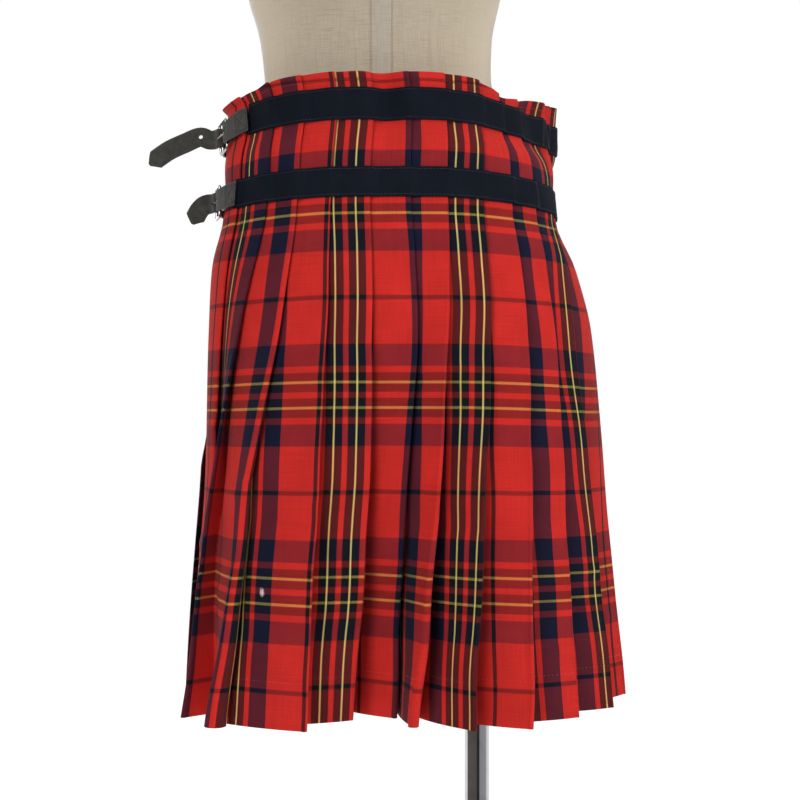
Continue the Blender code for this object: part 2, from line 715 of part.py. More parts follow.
def buckle_axes(fastening):
    """The heel bar's middle and the buckle's own directions: along, up and out."""
    z = mix(*fastening.band, 0.5)
    near, far = [place(bearing, 0, z) for bearing in BUCKLE_REST]
    level = (far - near).normalized()
    level = Vector((level.x, level.y, 0))
    out = Vector((-level.y, level.x, 0))
    heel = in_space(place(HEEL_BEARING, 0, z), z) + out * HEEL_OUT
    heel.z -= fastening.heel_drop
    tilt = math.radians(fastening.tilt)
    along = level * math.cos(tilt) - Vector((0, 0, math.sin(tilt)))
    up = level * math.sin(tilt) + Vector((0, 0, math.cos(tilt)))
    return heel, along, up, out


def buckle(name, fastening, finish):
    heel, along, up, out = buckle_axes(fastening)
    path = []
    corners = ((BUCKLE_LENGTH, 0.5, 0), (BUCKLE_LENGTH, -0.5, -90), (0, -0.5, -180), (0, 0.5, -270))
    for length, half, start in corners:
        inward = -1 if length else 1
        centre = (heel + along * (length + inward * BUCKLE_CORNER)
                  + up * (half * BUCKLE_HEIGHT - math.copysign(BUCKLE_CORNER, half)))
        for step in range(CORNER_STEPS + 1):
            turn = math.radians(start + 90 - 90 * step / CORNER_STEPS)
            path.append(centre + (along * math.cos(turn) + up * math.sin(turn)) * BUCKLE_CORNER)
    rod(name + "_buckle", path, WIRE_RADIUS, 8, finish, closed=True)
    reach = WIRE_RADIUS + SEAM_GAP + PRONG_RADIUS
    loop = [heel + (along * math.cos(math.radians(t)) + out * math.sin(math.radians(t))) * reach
            for t in PRONG_LOOP]
    tip_out = WIRE_RADIUS + STRAP_LEATHER + 2 * SEWN_GAP + PRONG_RADIUS
    tip = heel + along * (BUCKLE_LENGTH - PRONG_RADIUS) + out * tip_out
    straight = [loop[-1].lerp(tip, share) for share in PRONG_SHARES]
    rod(name + "_prong", loop + straight, PRONG_RADIUS, 6, finish)


def laid_on(bearing, out, z):
    """A point so far outside the ring, and the direction up the cloth there."""
    heights = (z - CLOTH_STEP, z + CLOTH_STEP)
    ends = [in_space(place(bearing, -out, height), height) for height in heights]
    return in_space(place(bearing, -out, z), z), (ends[1] - ends[0]).normalized()


def tab_stations(rows, fastening):
    z = mix(*fastening.band, 0.5)
    heel, along, up, out = buckle_axes(fastening)
    stations = []
    first = TAB_OUTER[0].bearing
    for row in rows:
        share = (first - row.bearing) / (first - HEEL_BEARING)
        point, upright = laid_on(row.bearing, row.out, z)
        point.z = mix(point.z, heel.z, ease(share))
        stations.append((point, upright.lerp(up, ease(share)), row.width))
    return stations


def tab(name, fastening, leather):
    """The leather tab: over the band's end, round the heel bar and back beneath itself."""
    heel, along, up, out = buckle_axes(fastening)
    reach = WIRE_RADIUS + SEWN_GAP + TAB_LEATHER / 2
    round_bar = []
    for turn in TAB_TURNS:
        spoke = along * math.cos(math.radians(turn)) + out * math.sin(math.radians(turn))
        round_bar.append((heel + spoke * reach, up, TAB_AT_BAR))
    stations = tab_stations(TAB_OUTER, fastening) + round_bar + tab_stations(TAB_INNER, fastening)
    made = ribbon(name + "_tab", stations, TAB_LEATHER, leather)
    cutter = box_cutter(name + "_slot", heel + along * SLOT_SHIFT, along * SLOT_REACH,
                        up * SLOT_WIDTH / 2, out * SLOT_DEPTH)
    cut(made, cutter)


def box_cutter(name, centre, half_one, half_two, half_three):
    vertices = [centre + half_one * a + half_two * b + half_three * c
                for a in (-1, 1) for b in (-1, 1) for c in (-1, 1)]
    faces = [(0, 1, 3, 2), (4, 6, 7, 5), (0, 4, 5, 1), (2, 3, 7, 6), (0, 2, 6, 4), (1, 5, 7, 3)]
    if half_one.cross(half_two).dot(half_three) < 0:
        faces = [face[::-1] for face in faces]
    return hidden_cutter(name, vertices, faces)


def hidden_cutter(name, vertices, faces):
    mesh = bpy.data.meshes.new(name)
    mesh.from_pydata([tuple(v) for v in vertices], [], faces)
    cutter = bpy.data.objects.new(name, mesh)
    bpy.context.scene.collection.objects.link(cutter)
    cutter.hide_render = True
    cutter.display_type = "WIRE"
    return cutter


def cut(target, cutter):
    modifier = target.modifiers.new("Cut", "BOOLEAN")
    modifier.operation = "DIFFERENCE"
    modifier.solver = "EXACT"
    modifier.object = cutter


def strap(name, fastening, leather):
    """The strap: from the outer apron, under the far bar, round it and out into the air."""
    heel, along, up, out = buckle_axes(fastening)
    z = mix(*fastening.band, 0.5)
    bar = heel + along * BUCKLE_LENGTH + up * STRAP_SHIFT
    reach = WIRE_RADIUS + SEWN_GAP + STRAP_LEATHER / 2
    stations = []
    for laid in STRAP_LAID:
        share = ease((laid.bearing - BAND_END) / (STRAP_LAID[-1].bearing - BAND_END))
        point, upright = laid_on(laid.bearing, laid.out, z)
        point.z = mix(point.z, bar.z + along.z * (point.xy - bar.xy).length, share)
        stations.append((point, upright.lerp(up, share), STRAP_WIDTH))
    for turn in STRAP_TURNS:
        spoke = along * math.cos(math.radians(turn)) + out * math.sin(math.radians(turn))
        stations.append((bar + spoke * reach, up, STRAP_WIDTH))
    curl = fastening.curl
    start = bar + out * reach
    for turn in CURL_TURNS:
        t = math.radians(turn)
        lift = Vector((0, 0, fastening.lift * turn / CURL_TURNS[-1]))
        stations.append((start + along * curl * math.sin(t) + out * curl * (1 - math.cos(t)) + lift,
                         up, STRAP_WIDTH))
    free = [Vector(point) for point in fastening.free_end]
    for index, point in enumerate(free[:-1]):
        heading = (free[index + 1] - stations[-1][0]).normalized()
        across = Vector((heading.z, 0, -heading.x)).normalized()
        share = min(1.0, (index + 1) / 2)
        stations.append((point, up.lerp(across, share), STRAP_WIDTH))
    stations.append((free[-1], across, STRAP_POINT))
    made = ribbon(name + "_strap", stations, STRAP_LEATHER, leather)
    if fastening.hole:
        middle = stations[-len(free)][0]
        away = (stations[-len(free) + 1][0] - stations[-len(free) - 1][0]).normalized()
        facing = away.cross(up).normalized()
        cut(made, round_cutter(name + "_hole", middle, facing * HOLE_DEPTH, HOLE_RADIUS))


def round_cutter(name, centre, half, radius):
    axis = half.normalized()
    one = axis.orthogonal().normalized()
    two = axis.cross(one)
    sides = HOLE_SIDES
    vertices = []
    for end in (-1, 1):
        for side in range(sides):
            turn = 2 * math.pi * side / sides
            vertices.append(centre + half * end
                            + (one * math.cos(turn) + two * math.sin(turn)) * radius)
    faces = [(s, (s + 1) % sides, sides + (s + 1) % sides, sides + s) for s in range(sides)]
    faces.append(tuple(reversed(range(sides))))
    faces.append(tuple(range(sides, 2 * sides)))
    return hidden_cutter(name, vertices, faces)


def main():
    clear_scene()
    tartan = material("tartan cloth", (0.62, 0.03, 0.03), 0.85)
    webbing = material("black webbing", (0.012, 0.014, 0.018), 0.8)
    leather = material("black leather", (0.02, 0.02, 0.02), 0.45)
    plated = material("plated wire", (0.7, 0.7, 0.7), 0.25, 1.0)
    linen = material("linen cover", (0.62, 0.53, 0.39), 0.9)
    chrome = material("chromed steel", (0.8, 0.8, 0.8), 0.1, 1.0)
    steel = material("painted steel", (0.6, 0.6, 0.6), 0.4)
    cloth("pleated_back", lambda z: pleat_plan(z)[0], tartan)
    cloth("over_apron", over_apron_plan, tartan)
    cloth("under_apron", under_apron_plan, tartan)
    band("upper_band", UPPER_BAND_Z, webbing)
    band("lower_band", LOWER_BAND_Z, webbing)
    for name, fastening in zip(FASTENINGS, (UPPER, LOWER)):
        buckle(name, fastening, plated)
        tab(name, fastening, leather)
        strap(name, fastening, leather)
    dress_form(linen)
    stand(chrome, steel)


main()
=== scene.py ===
"""The looks of a pleated tartan wrap skirt on its dress form.

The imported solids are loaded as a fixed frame, and every visible piece is drawn again round them:
thin cloth with its folds and creases, woven bands, leather tabs and straps, wire buckles,
stitches, the linen form and its stand. Metres, +Z up, and the pleats face -Y.
"""

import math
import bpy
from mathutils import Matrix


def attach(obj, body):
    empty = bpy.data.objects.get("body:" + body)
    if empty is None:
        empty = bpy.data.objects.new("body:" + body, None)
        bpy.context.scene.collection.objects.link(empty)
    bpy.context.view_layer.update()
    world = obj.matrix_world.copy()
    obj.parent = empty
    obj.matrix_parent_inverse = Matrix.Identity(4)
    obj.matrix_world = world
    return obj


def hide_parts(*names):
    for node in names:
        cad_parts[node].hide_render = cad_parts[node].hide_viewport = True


bl_info = {
    "name": "Tartan Wrap Skirt",
    "version": (1, 0, 0),
    "blender": (4, 5, 0),
    "location": "3D View > Sidebar > Skirt",
    "description": "Dresses the packed skirt solids with cloth, leather, metal and stitches",
    "category": "Object",
}

from collections import namedtuple
from functools import lru_cache

import bmesh
import bpy
from bpy.props import FloatProperty, FloatVectorProperty, IntProperty, PointerProperty
from mathutils import Vector

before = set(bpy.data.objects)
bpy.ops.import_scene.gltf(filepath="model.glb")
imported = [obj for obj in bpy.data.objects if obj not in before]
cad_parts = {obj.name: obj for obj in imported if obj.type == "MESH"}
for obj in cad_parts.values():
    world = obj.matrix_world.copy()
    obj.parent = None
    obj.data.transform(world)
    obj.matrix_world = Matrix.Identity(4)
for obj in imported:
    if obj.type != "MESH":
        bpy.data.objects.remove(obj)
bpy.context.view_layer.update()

BODY = "root"

# Heights above the floor
TOP_Z = 1.038
UPPER_BAND_Z = (0.992, 1.023)
LOWER_BAND_Z = (0.918, 0.947)
SEAT_Z = LOWER_BAND_Z[0]
MIDDLE_Z = 0.970
HIGH_HIP_Z = 0.865
HEM_Z = 0.418

# Cloth, bands and leather
CLOTH = 0.0012
LAYER = 0.0018
SEAM_GAP = 0.0003
SEWN_GAP = 0.0005
BAND = 0.0015
TAB_LEATHER = 0.0018
STRAP_LEATHER = 0.0020
PLEAT_PITCH = 0.105
LEAST_TUCK = 0.005
HIP_TUCK = 0.90
WAIST_TUCK = 0.50
LOW_POINT = 0.008
HEM_LOOP = 0.0040
STEEP_ROOM = 2.5
LEFT_SAG = 0.008
RIGHT_SAG = 0.012
# The bearings over which the rows begin to sag, and how slowly the pleats open at first
SAG_FROM = 20
SAG_OVER = 65
OPENING = 1.5

# How finely each part of a pleat is drawn
FOLD_STEPS = 7
ROOT_STEPS = 5
RETURN_SHARES = (0.33, 0.66)
HIDDEN_SHARES = (0.35, 0.7)
PANEL_SHARES = (0.06, 0.13, 0.22, 0.32, 0.43, 0.54, 0.65, 0.76, 0.86, 0.94)
SIDE_SHARES = (0.08, 0.17, 0.27, 0.38, 0.49, 0.60, 0.70, 0.80, 0.89, 0.95)
SEWN_ROWS = 26
OPEN_ROWS = 46
APRON_COLUMNS = 120
BAND_ROWS = 8
BAND_COLUMNS = 460

# The outermost ring of the cloth, level by level
Level = namedtuple("Level", "z half_width half_back half_front centre_x squareness dent_share")
LEVELS = tuple(Level(*row) for row in (
    (TOP_Z, 0.1775, 0.126, 0.112, 0.0075, 2.05, 1.00),
    (UPPER_BAND_Z[1], 0.1735, 0.125, 0.112, 0.0095, 2.08, 0.95),
    (UPPER_BAND_Z[0], 0.1735, 0.125, 0.113, 0.0105, 2.15, 0.80),
    (MIDDLE_Z, 0.1720, 0.1265, 0.1145, 0.0098, 2.22, 0.36),
    (LOWER_BAND_Z[1], 0.1702, 0.128, 0.116, 0.0090, 2.30, 0.10),
    (SEAT_Z, 0.1710, 0.130, 0.118, 0.0090, 2.40, 0.00),
    (HIGH_HIP_Z, 0.1875, 0.1355, 0.1265, 0.0133, 2.30, 0.00),
    (0.800, 0.1975, 0.141, 0.135, 0.0195, 2.20, 0.00),
    (0.620, 0.2082, 0.150, 0.145, 0.0243, 2.15, 0.00),
    (HEM_Z, 0.2294, 0.158, 0.155, 0.0248, 2.10, 0.00),
))
LEVEL_HEIGHTS = tuple(level.z for level in LEVELS)

# Where the waist falls inside its ring: the hollow of the back and the loose fold at the right
Dent = namedtuple("Dent", "bearing depth")
DENTS = tuple(Dent(*row) for row in (
    (-80, 0.006), (-62, 0.008), (-42, 0.000), (-14, -0.002), (-2, 0.011), (12, -0.001),
    (32, 0.006), (60, 0.023), (75, 0.029), (87, 0.014), (94, 0.014), (105, -0.0170), (135, 0.000),
    (235, 0.000), (262, 0.004), (280, 0.006),
))

# How far the top edge alone droops, or is lifted where the loose fold pushes it up
Droop = namedtuple("Droop", "bearing drop")
TOP_EDGE = tuple(Droop(*row) for row in (
    (-115, 0.000), (-80, 0.010), (-60, 0.004), (-50, 0.000), (38, 0.000), (50, 0.003), (58, 0.008),
    (67, 0.005), (80, -0.001), (104, -0.006), (130, 0.000),
))

# One row for each pleat: bearings of its outer fold, its form at the hem, and the place in the
# tartan's repeat, in threads' units, that lies on the fold
Fold = namedtuple("Fold", "top band hip knee hem hem_out hem_step hem_roll repeat")
FOLDS = tuple(Fold(*row) for row in (
    (-68, -64, -69, -74, -80, -0.004, 0.020, 0.004, 18.0),
    (-52, -49, -58, -66, -63.5, 0.028, 0.030, 0.004, 145.0),
    (-37, -37, -43, -50, -49, 0.041, 0.020, 0.020, 271.3),
    (-23, -24, -27, -29, -29, 0.022, 0.035, 0.004, 396.3),
    (-8, -8, -11, -15, -23, -0.036, 0.036, 0.004, 520.1),
    (9, 9, 7, 0, -5, -0.048, 0.026, 0.004, 641.9),
    (25, 24, 18.5, 12, 3.5, -0.006, 0.046, 0.009, 768.9),
    (42, 38, 33.5, 27, 20.8, 0.013, 0.030, 0.004, 904.5),
    (55, 49, 46, 41.5, 37, 0.019, 0.034, 0.004, 1026.0),
    (66.5, 60, 57, 57, 58, -0.006, 0.028, 0.004, 1152.5),
    (84, 74, 66, 71, 75, -0.008, 0.036, 0.004, 1273.8),
    (98, 93, 91, 90, 93, 0.000, 0.022, 0.004, 1396.1),
))
FOLD_HEIGHTS = (TOP_Z, SEAT_Z, 0.800, 0.620, HEM_Z)
TUCK_HEIGHTS = (UPPER_BAND_Z[0], SEAT_Z)
SIDE_REPEAT = 1521.0
FREE_EDGE_REPEAT = 64.0
LEFT_SEAM = -104
RIGHT_SEAM = 111
UNDER_APRON_START = 124
FREE_EDGE = (263, 263, 263, 261, 255)
FREE_EDGE_OUT = 0.015
FREE_EDGE_LIFT = 0.0045
FREE_EDGE_LIFT_Z = 0.695
FREE_EDGE_LIFT_OVER = 0.040
# The bearing from which a pleat's inner edge turns from the camera to the form, and over how many
FACING_LEFT = (52, 12)
FACING_RIGHT = (50, 40)
FACING_OVER_Z = 0.2
# The aprons' soft waves: how deep, how many to a turn, and the bearings over which edges change
APRON_WAVE = 0.004
APRON_WAVES = 5
LAP_OVER = 16
FLARE_OVER = 30
TUCK_UNDER_OVER = 20
CLEAR_OVER = 40
BAND_START = -65
BAND_END = 256

# Creases pressed or worn into the cloth: a place, a lean from upright in degrees, and a size.
# A height above zero is a soft ridge and one below zero a trough.
Crease = namedtuple("Crease", "bearing z lean half_width half_length height")
CREASES = tuple(Crease(*row) for row in (
    # between the bands and below them, at the back
    (-58, 0.969, 8, 0.0040, 0.018, 0.0011), (-44, 0.972, -6, 0.0055, 0.019, 0.0013),
    (-30, 0.968, 5, 0.0045, 0.018, 0.0009), (-15, 0.971, -4, 0.0060, 0.020, 0.0014),
    (-3, 0.968, 7, 0.0050, 0.019, -0.0008), (15, 0.970, -5, 0.0060, 0.019, 0.0012),
    (30, 0.969, 9, 0.0045, 0.018, 0.0010), (43, 0.971, -8, 0.0055, 0.018, 0.0012),
    (57, 0.969, 4, 0.0040, 0.018, 0.0008), (-33, 0.880, 12, 0.0060, 0.024, 0.0010),
    (3, 0.884, -10, 0.0070, 0.026, 0.0012), (27, 0.878, 14, 0.0060, 0.024, 0.0010),
    (52, 0.882, -15, 0.0060, 0.026, 0.0012),
    # across the pleats' faces
    (-33, 0.615, 58, 0.0075, 0.034, 0.0022), (-36, 0.585, 50, 0.0060, 0.022, -0.0014),
    (-31, 0.745, 72, 0.0080, 0.028, 0.0014), (-22, 0.700, -62, 0.0070, 0.026, 0.0013),
    (-20, 0.640, 66, 0.0085, 0.030, -0.0016), (-38, 0.505, 48, 0.0080, 0.030, 0.0020),
    (-34, 0.462, 74, 0.0060, 0.022, 0.0014), (-26, 0.520, -70, 0.0070, 0.026, 0.0014),
    (-10, 0.780, 68, 0.0080, 0.030, 0.0013), (-6, 0.690, -64, 0.0070, 0.026, -0.0012),
    (13, 0.610, 64, 0.0080, 0.026, 0.0016), (16, 0.745, -72, 0.0070, 0.028, 0.0012),
    (31, 0.612, 60, 0.0085, 0.032, 0.0022), (34, 0.580, 70, 0.0060, 0.022, -0.0012),
    (29, 0.500, -66, 0.0080, 0.026, 0.0016), (37, 0.760, 66, 0.0080, 0.030, 0.0014),
    (50, 0.600, -58, 0.0070, 0.024, 0.0016), (52, 0.480, 64, 0.0070, 0.026, 0.0016),
    (58, 0.720, 70, 0.0070, 0.028, 0.0012), (68, 0.560, -64, 0.0070, 0.026, 0.0014),
    (80, 0.660, 62, 0.0080, 0.028, 0.0014), (84, 0.500, 70, 0.0080, 0.028, 0.0016),
    (-54, 0.640, 64, 0.0070, 0.026, 0.0014), (-62, 0.540, -60, 0.0080, 0.028, 0.0016),
    (-72, 0.700, 66, 0.0080, 0.028, 0.0014), (-84, 0.580, 60, 0.0070, 0.026, 0.0014),
    # the hidden side
    (104, 0.780, 24, 0.0110, 0.060, 0.0024), (112, 0.600, 14, 0.0140, 0.085, 0.0030),
    (128, 0.860, -38, 0.0080, 0.038, 0.0020), (133, 0.720, 10, 0.0150, 0.090, 0.0034),
    (146, 0.560, -12, 0.0130, 0.080, -0.0022), (152, 0.870, 52, 0.0070, 0.036, 0.0018),
    (158, 0.800, -64, 0.0090, 0.046, 0.0020), (163, 0.640, 8, 0.0160, 0.095, 0.0036),
    (174, 0.865, -46, 0.0080, 0.040, 0.0020), (181, 0.730, 18, 0.0110, 0.060, -0.0018),
    (188, 0.560, -6, 0.0150, 0.085, 0.0034), (196, 0.860, 48, 0.0070, 0.038, 0.0018),
    (205, 0.770, -56, 0.0090, 0.048, 0.0022), (212, 0.650, 12, 0.0140, 0.080, 0.0030),
    (222, 0.500, -16, 0.0110, 0.060, -0.0020), (228, 0.850, -42, 0.0080, 0.040, 0.0020),
    (238, 0.700, 20, 0.0120, 0.070, 0.0026), (246, 0.560, -10, 0.0120, 0.070, 0.0024),
    (140, 0.968, 10, 0.0060, 0.020, 0.0012), (160, 0.972, -8, 0.0070, 0.020, 0.0014),
    (183, 0.968, 6, 0.0055, 0.019, 0.0010), (204, 0.971, -7, 0.0070, 0.020, 0.0013),
    (226, 0.969, 9, 0.0055, 0.019, 0.0011), (244, 0.971, -5, 0.0050, 0.018, 0.0010),
))
# How far from a crease, in height and in bearing, it can lift the cloth, and the cloth's rough
# radius, which turns bearings into lengths
CREASE_REACH = 0.1
CREASE_SPREAD = 40
MEAN_RADIUS = 0.19
# The cloth's swelling between the bands, and how far a hanging fold strays to its sides
PUFF = 0.0012
WAVER = 0.0011

# The form: sections from its underside to its neck
Section = namedtuple("Section", "z half_width half_back half_front centre_x")
FORM = tuple(Section(*row) for row in (
    (0.700, 0.126, 0.076, 0.078, 0.008), (0.708, 0.142, 0.088, 0.090, 0.008),
    (0.740, 0.153, 0.098, 0.098, 0.009), (0.800, 0.161, 0.110, 0.105, 0.009),
    (0.870, 0.1615, 0.1175, 0.1055, 0.009), (SEAT_Z, 0.1628, 0.1218, 0.1098, 0.009),
    (0.960, 0.150, 0.113, 0.103, 0.006), (1.000, 0.131, 0.101, 0.095, 0.001),
    (1.050, 0.1165, 0.090, 0.088, -0.003), (1.090, 0.119, 0.089, 0.090, -0.005),
    (1.137, 0.130, 0.093, 0.099, -0.007), (1.200, 0.143, 0.100, 0.112, -0.008),
    (1.260, 0.151, 0.104, 0.116, -0.008), (1.320, 0.158, 0.104, 0.106, -0.008),
    (1.370, 0.172, 0.096, 0.088, -0.008), (1.400, 0.170, 0.083, 0.074, -0.008),
    (1.420, 0.146, 0.070, 0.062, -0.008), (1.436, 0.106, 0.060, 0.054, -0.008),
    (1.452, 0.071, 0.053, 0.049, -0.008), (1.475, 0.056, 0.048, 0.046, -0.008),
    (1.515, 0.052, 0.046, 0.045, -0.008),
))
FORM_UP = FORM[::-1]
FORM_SQUARENESS = 2.2
FORM_SEAT_GAP = 0.0006
FORM_COLUMNS = 160
FORM_ROW = 0.008
FORM_MAP_RADIUS = 0.14
FORM_ENDS = ((FORM[0].z, 0.93), (FORM[-1].z, 0.86))
BUST_Z = 1.255
BUST_BEARING = 146
BUST_OUT = 0.020
BUST_SPREAD_Z = 0.050
BUST_SPREAD_BEARING = 20
SEAT_BLEND = 0.045
TAPE_X = 0.0018
TAPE_WIDTH = 0.021
TAPE = 0.0006
TAPE_OUT = 0.0002
TAPE_Z = (0.930, FORM[-1].z - 0.0005)
TAPE_ROWS = 70
TAPE_LANES = 4

# The stand
POLE_X = 0.099
POLE_RADIUS = 0.0127
BASE_RADIUS = 0.170
BASE_HEIGHT = 0.010
HUB_RADIUS = 0.021
HUB_HEIGHT = 0.028
SOCKET_PLATE_RADIUS = 0.034
SOCKET_PLATE = 0.005
SOCKET_RADIUS = 0.0175
SOCKET_LENGTH = 0.050

# Buckles, tabs and straps
WIRE_RADIUS = 0.0015
PRONG_RADIUS = 0.0009
BUCKLE_LENGTH = 0.022
BUCKLE_HEIGHT = 0.031
BUCKLE_CORNER = 0.0020
STRAP_WIDTH = 0.020
SLOT_WIDTH = 0.0034
HEEL_BEARING = -76
HEEL_OUT = 0.0056
HOLE_RADIUS = 0.0020
CUTTER_HALF = 0.006
Tab = namedtuple("Tab", "bearing out width")
TAB_OUTER = tuple(Tab(*row) for row in (
    (-62.8, 0.0036, 0.0245), (-66, 0.0045, 0.0245), (-68, 0.0054, 0.024), (-70, 0.0062, 0.0232),
    (-72.5, 0.0075, 0.022),
))
TAB_INNER = tuple(Tab(*row) for row in (
    (-72.5, 0.0027, 0.021), (-71, 0.0027, 0.0212), (-69.5, 0.0027, 0.0215),
))
TAB_AT_BAR = 0.0195
Fastening = namedtuple("Fastening", "name band heel_drop tilt curl lift free_end hole")
FASTENINGS = (
    Fastening("upper", UPPER_BAND_Z, 0.008, 12, 0.008, 0.001,
              ((-0.1836, -0.0185, 0.9921), (-0.2000, -0.0175, 0.9860), (-0.2162, -0.0150, 0.9791),
               (-0.2305, -0.0120, 0.9700), (-0.2373, -0.0100, 0.9650)), True),
    Fastening("lower", LOWER_BAND_Z, 0.002, 5, 0.006, 0.000,
              ((-0.1810, -0.0190, 0.9215), (-0.1855, -0.0180, 0.9170),
               (-0.1895, -0.0170, 0.9100), (-0.1925, -0.0160, 0.9035)), False),
)
STRAP_SHIFT = 0.0020
STRAP_POINT = 0.003
STRAP_STEPS = 6
TAB_STEPS = 5
WIRE_SIDES = 16
PRONG_SIDES = 12
Laid = namedtuple("Laid", "bearing out")
STRAP_LAID = tuple(Laid(*row) for row in (
    (239, 0.0041), (245, 0.0041), (251, 0.0041), (256.5, 0.0042), (262.5, 0.0043), (269, 0.0041),
))

# The tartan: half of its repeat, from the thin dark line to the middle of the small red square
REPEAT_UNITS = 196.3
Stripe = namedtuple("Stripe", "start upright_start colour")
STRIPES = tuple(Stripe(*row) for row in (
    (0.0, 0.0, "dark"), (2.2, 2.2, "red"), (46.75, 46.75, "navy"), (68.75, 68.75, "red"),
    (75.35, 75.35, "dark"), (83.7, 84.2, "yellow"), (86.5, 86.05, "dark"), (94.85, 94.85, "red"),
))
GAMMA = 2.6
DARK_LINE_ABOVE_HEM = 0.034
# The warp's share of the colour where it lies beneath, what it gains on top, and how much more
# the thick yellow threads cover
WARP_BENEATH = 0.42
WARP_ON_TOP = 0.46
COVER = 0.24
WORN_SPOT = (-0.1110, -0.155, 0.5425)
WORN_SIZE = 0.0085

SMOOTH_ANGLE = math.radians(35)

# Stitches, and how far their threads' middles lie outside what they hold
Stitch = namedtuple("Stitch", "pitch length thickness")
TOP_STITCH = Stitch(0.0034, 0.0026, 0.0005)
BAND_STITCH = Stitch(0.0032, 0.0025, 0.0005)
HEM_STITCH = Stitch(0.0042, 0.0011, 0.0004)
TAB_STITCH = Stitch(0.0026, 0.0022, 0.0009)
TAPE_STITCH = Stitch(0.0021, 0.0016, 0.0004)
THREAD_OUT = 0.0001
TOP_STITCHED = (-86, 262)
BAND_STITCH_INSET = 0.0022
TAB_STITCH_INSET = 0.003
TAPE_STITCH_INSET = 0.0008
TAB_STITCHED = (1, 11)

# The studio: each lamp's share of the power that one of the settings gives
Lamp = namedtuple("Lamp", "name position size setting share")
LAMPS = tuple(Lamp(*row) for row in (
    ("left_softbox", (-1.25, -2.5, 1.75), (1.4, 1.9), "left_light", 1.0),
    ("right_softbox", (2.3, -1.3, 1.35), (1.2, 1.7), "right_light", 1.0),
    ("top_softbox", (0.2, -0.3, 2.9), (1.6, 1.6), "right_light", 0.42),
    ("back_softbox", (-0.6, 2.2, 1.7), (1.6, 1.6), "right_light", 0.76),
))
LAMPS_AIM = Vector((0.0, 0.0, 0.75))
CAMERA_X = 0.0196
CAMERA_Z = 0.734
CAMERA_SHIFT = -0.0125
FLOOR_HALF = 9.0
FLOOR_GLOW = 1.18
FLOOR_GLOW_SHARE = 0.82
WORLD_LIGHT = 0.19

# What bright metal mirrors all round, from behind the form by the left to behind it again
ROOM = ((0.0, (0.90, 0.90, 0.90, 1)), (0.20, (0.85, 0.85, 0.84, 1)),
        (0.235, (0.11, 0.10, 0.09, 1)), (0.47, (0.09, 0.08, 0.075, 1)),
        (0.52, (0.015, 0.015, 0.015, 1)), (0.545, (0.015, 0.015, 0.015, 1)),
        (0.57, (0.26, 0.26, 0.26, 1)), (0.74, (0.30, 0.30, 0.30, 1)),
        (0.79, (0.74, 0.73, 0.76, 1)), (1.0, (0.90, 0.90, 0.90, 1)))


def colour_setting(name, description, default):
    return FloatVectorProperty(name=name, description=description, default=default,
                               subtype="COLOR", size=3, min=0, max=1)


def length_setting(name, description, default, least, most, precision=2):
    return FloatProperty(name=name, description=description, default=default, min=least,
                         max=most, unit="LENGTH", precision=precision)


def power_setting(name, description, default):
    return FloatProperty(name=name, description=description, default=default, min=0, max=1000,
                         unit="POWER")


class SkirtSettings(bpy.types.PropertyGroup):
    """Sizes and colours of the cloth, the bands and the leather."""
    red: colour_setting("Red", "The tartan's ground", (0.66, 0.024, 0.018))
    navy: colour_setting("Navy", "The tartan's wide dark stripes", (0.0055, 0.0070, 0.028))
    dark: colour_setting("Black", "The tartan's lines beside the yellow", (0.0035, 0.0050, 0.0085))
    yellow: colour_setting("Yellow", "The tartan's thin bright lines", (0.78, 0.62, 0.11))
    upright_yellow: colour_setting("Upright yellow", "The upright bright lines, paler",
                                   (0.82, 0.66, 0.20))
    repeat_across: length_setting("Repeat across", "Width of the tartan's repeat", 0.165, 0.02, 1)
    repeat_up: length_setting("Repeat up", "Height of the tartan's repeat", 0.185, 0.02, 1)
    thread: length_setting("Thread", "Distance from one thread to the next", 0.00052, 0.0002,
                           0.005, precision=5)
    webbing: colour_setting("Bands", "Colour of the two woven bands", (0.0028, 0.0046, 0.0090))
    leather: colour_setting("Leather", "Smooth side of tabs and straps", (0.006, 0.006, 0.007))
    suede: colour_setting("Leather back", "Rough side of the straps", (0.044, 0.042, 0.037))
    edge_stitch: length_setting("Top stitch", "Stitch line below the top edge", 0.0076, 0.002,
                                0.02)
    hem_stitch: length_setting("Hem stitch", "Stitch line above the hem", 0.043, 0.005, 0.08)


class StandSettings(bpy.types.PropertyGroup):
    """Sizes and colours of the form and what carries it."""
    linen: colour_setting("Linen", "Colour of the form's cover", (0.44, 0.375, 0.285))
    slub: colour_setting("Slubs", "Colour of the linen's darker threads", (0.36, 0.28, 0.18))
    tape: colour_setting("Tape", "Colour of the tape down the form's back", (0.42, 0.37, 0.30))
    sides: IntProperty(name="Round sides", description="Sides of the turned pieces",
                       default=96, min=16, max=256)


class StageSettings(bpy.types.PropertyGroup):
    """The camera and the lights."""
    distance: length_setting("Camera distance", "From the form's axis", 1.61, 0.5, 10)
    lens: FloatProperty(name="Lens", description="Focal length in millimetres",
                        default=70.155, min=20, max=200)
    left_light: power_setting("Left light", "Power of the large left light", 45)
    right_light: power_setting("Right light", "Power of the right light", 32)


def ease(share):
    share = max(0.0, min(1.0, share))
    return share * share * (3 - 2 * share)


def mix(a, b, share):
    return a + (b - a) * share


def spoke(one, two, turn):
    """The arm of a circle after a turn from the first direction towards the second."""
    return one * math.cos(turn) + two * math.sin(turn)


def eased(rows, bearing):
    """The listed value at a bearing, eased from row to row, and 0 outside them."""
    for (left, one), (right, two) in zip(rows, rows[1:]):
        if left <= bearing <= right:
            return mix(one, two, ease((bearing - left) / (right - left)))
    return 0.0


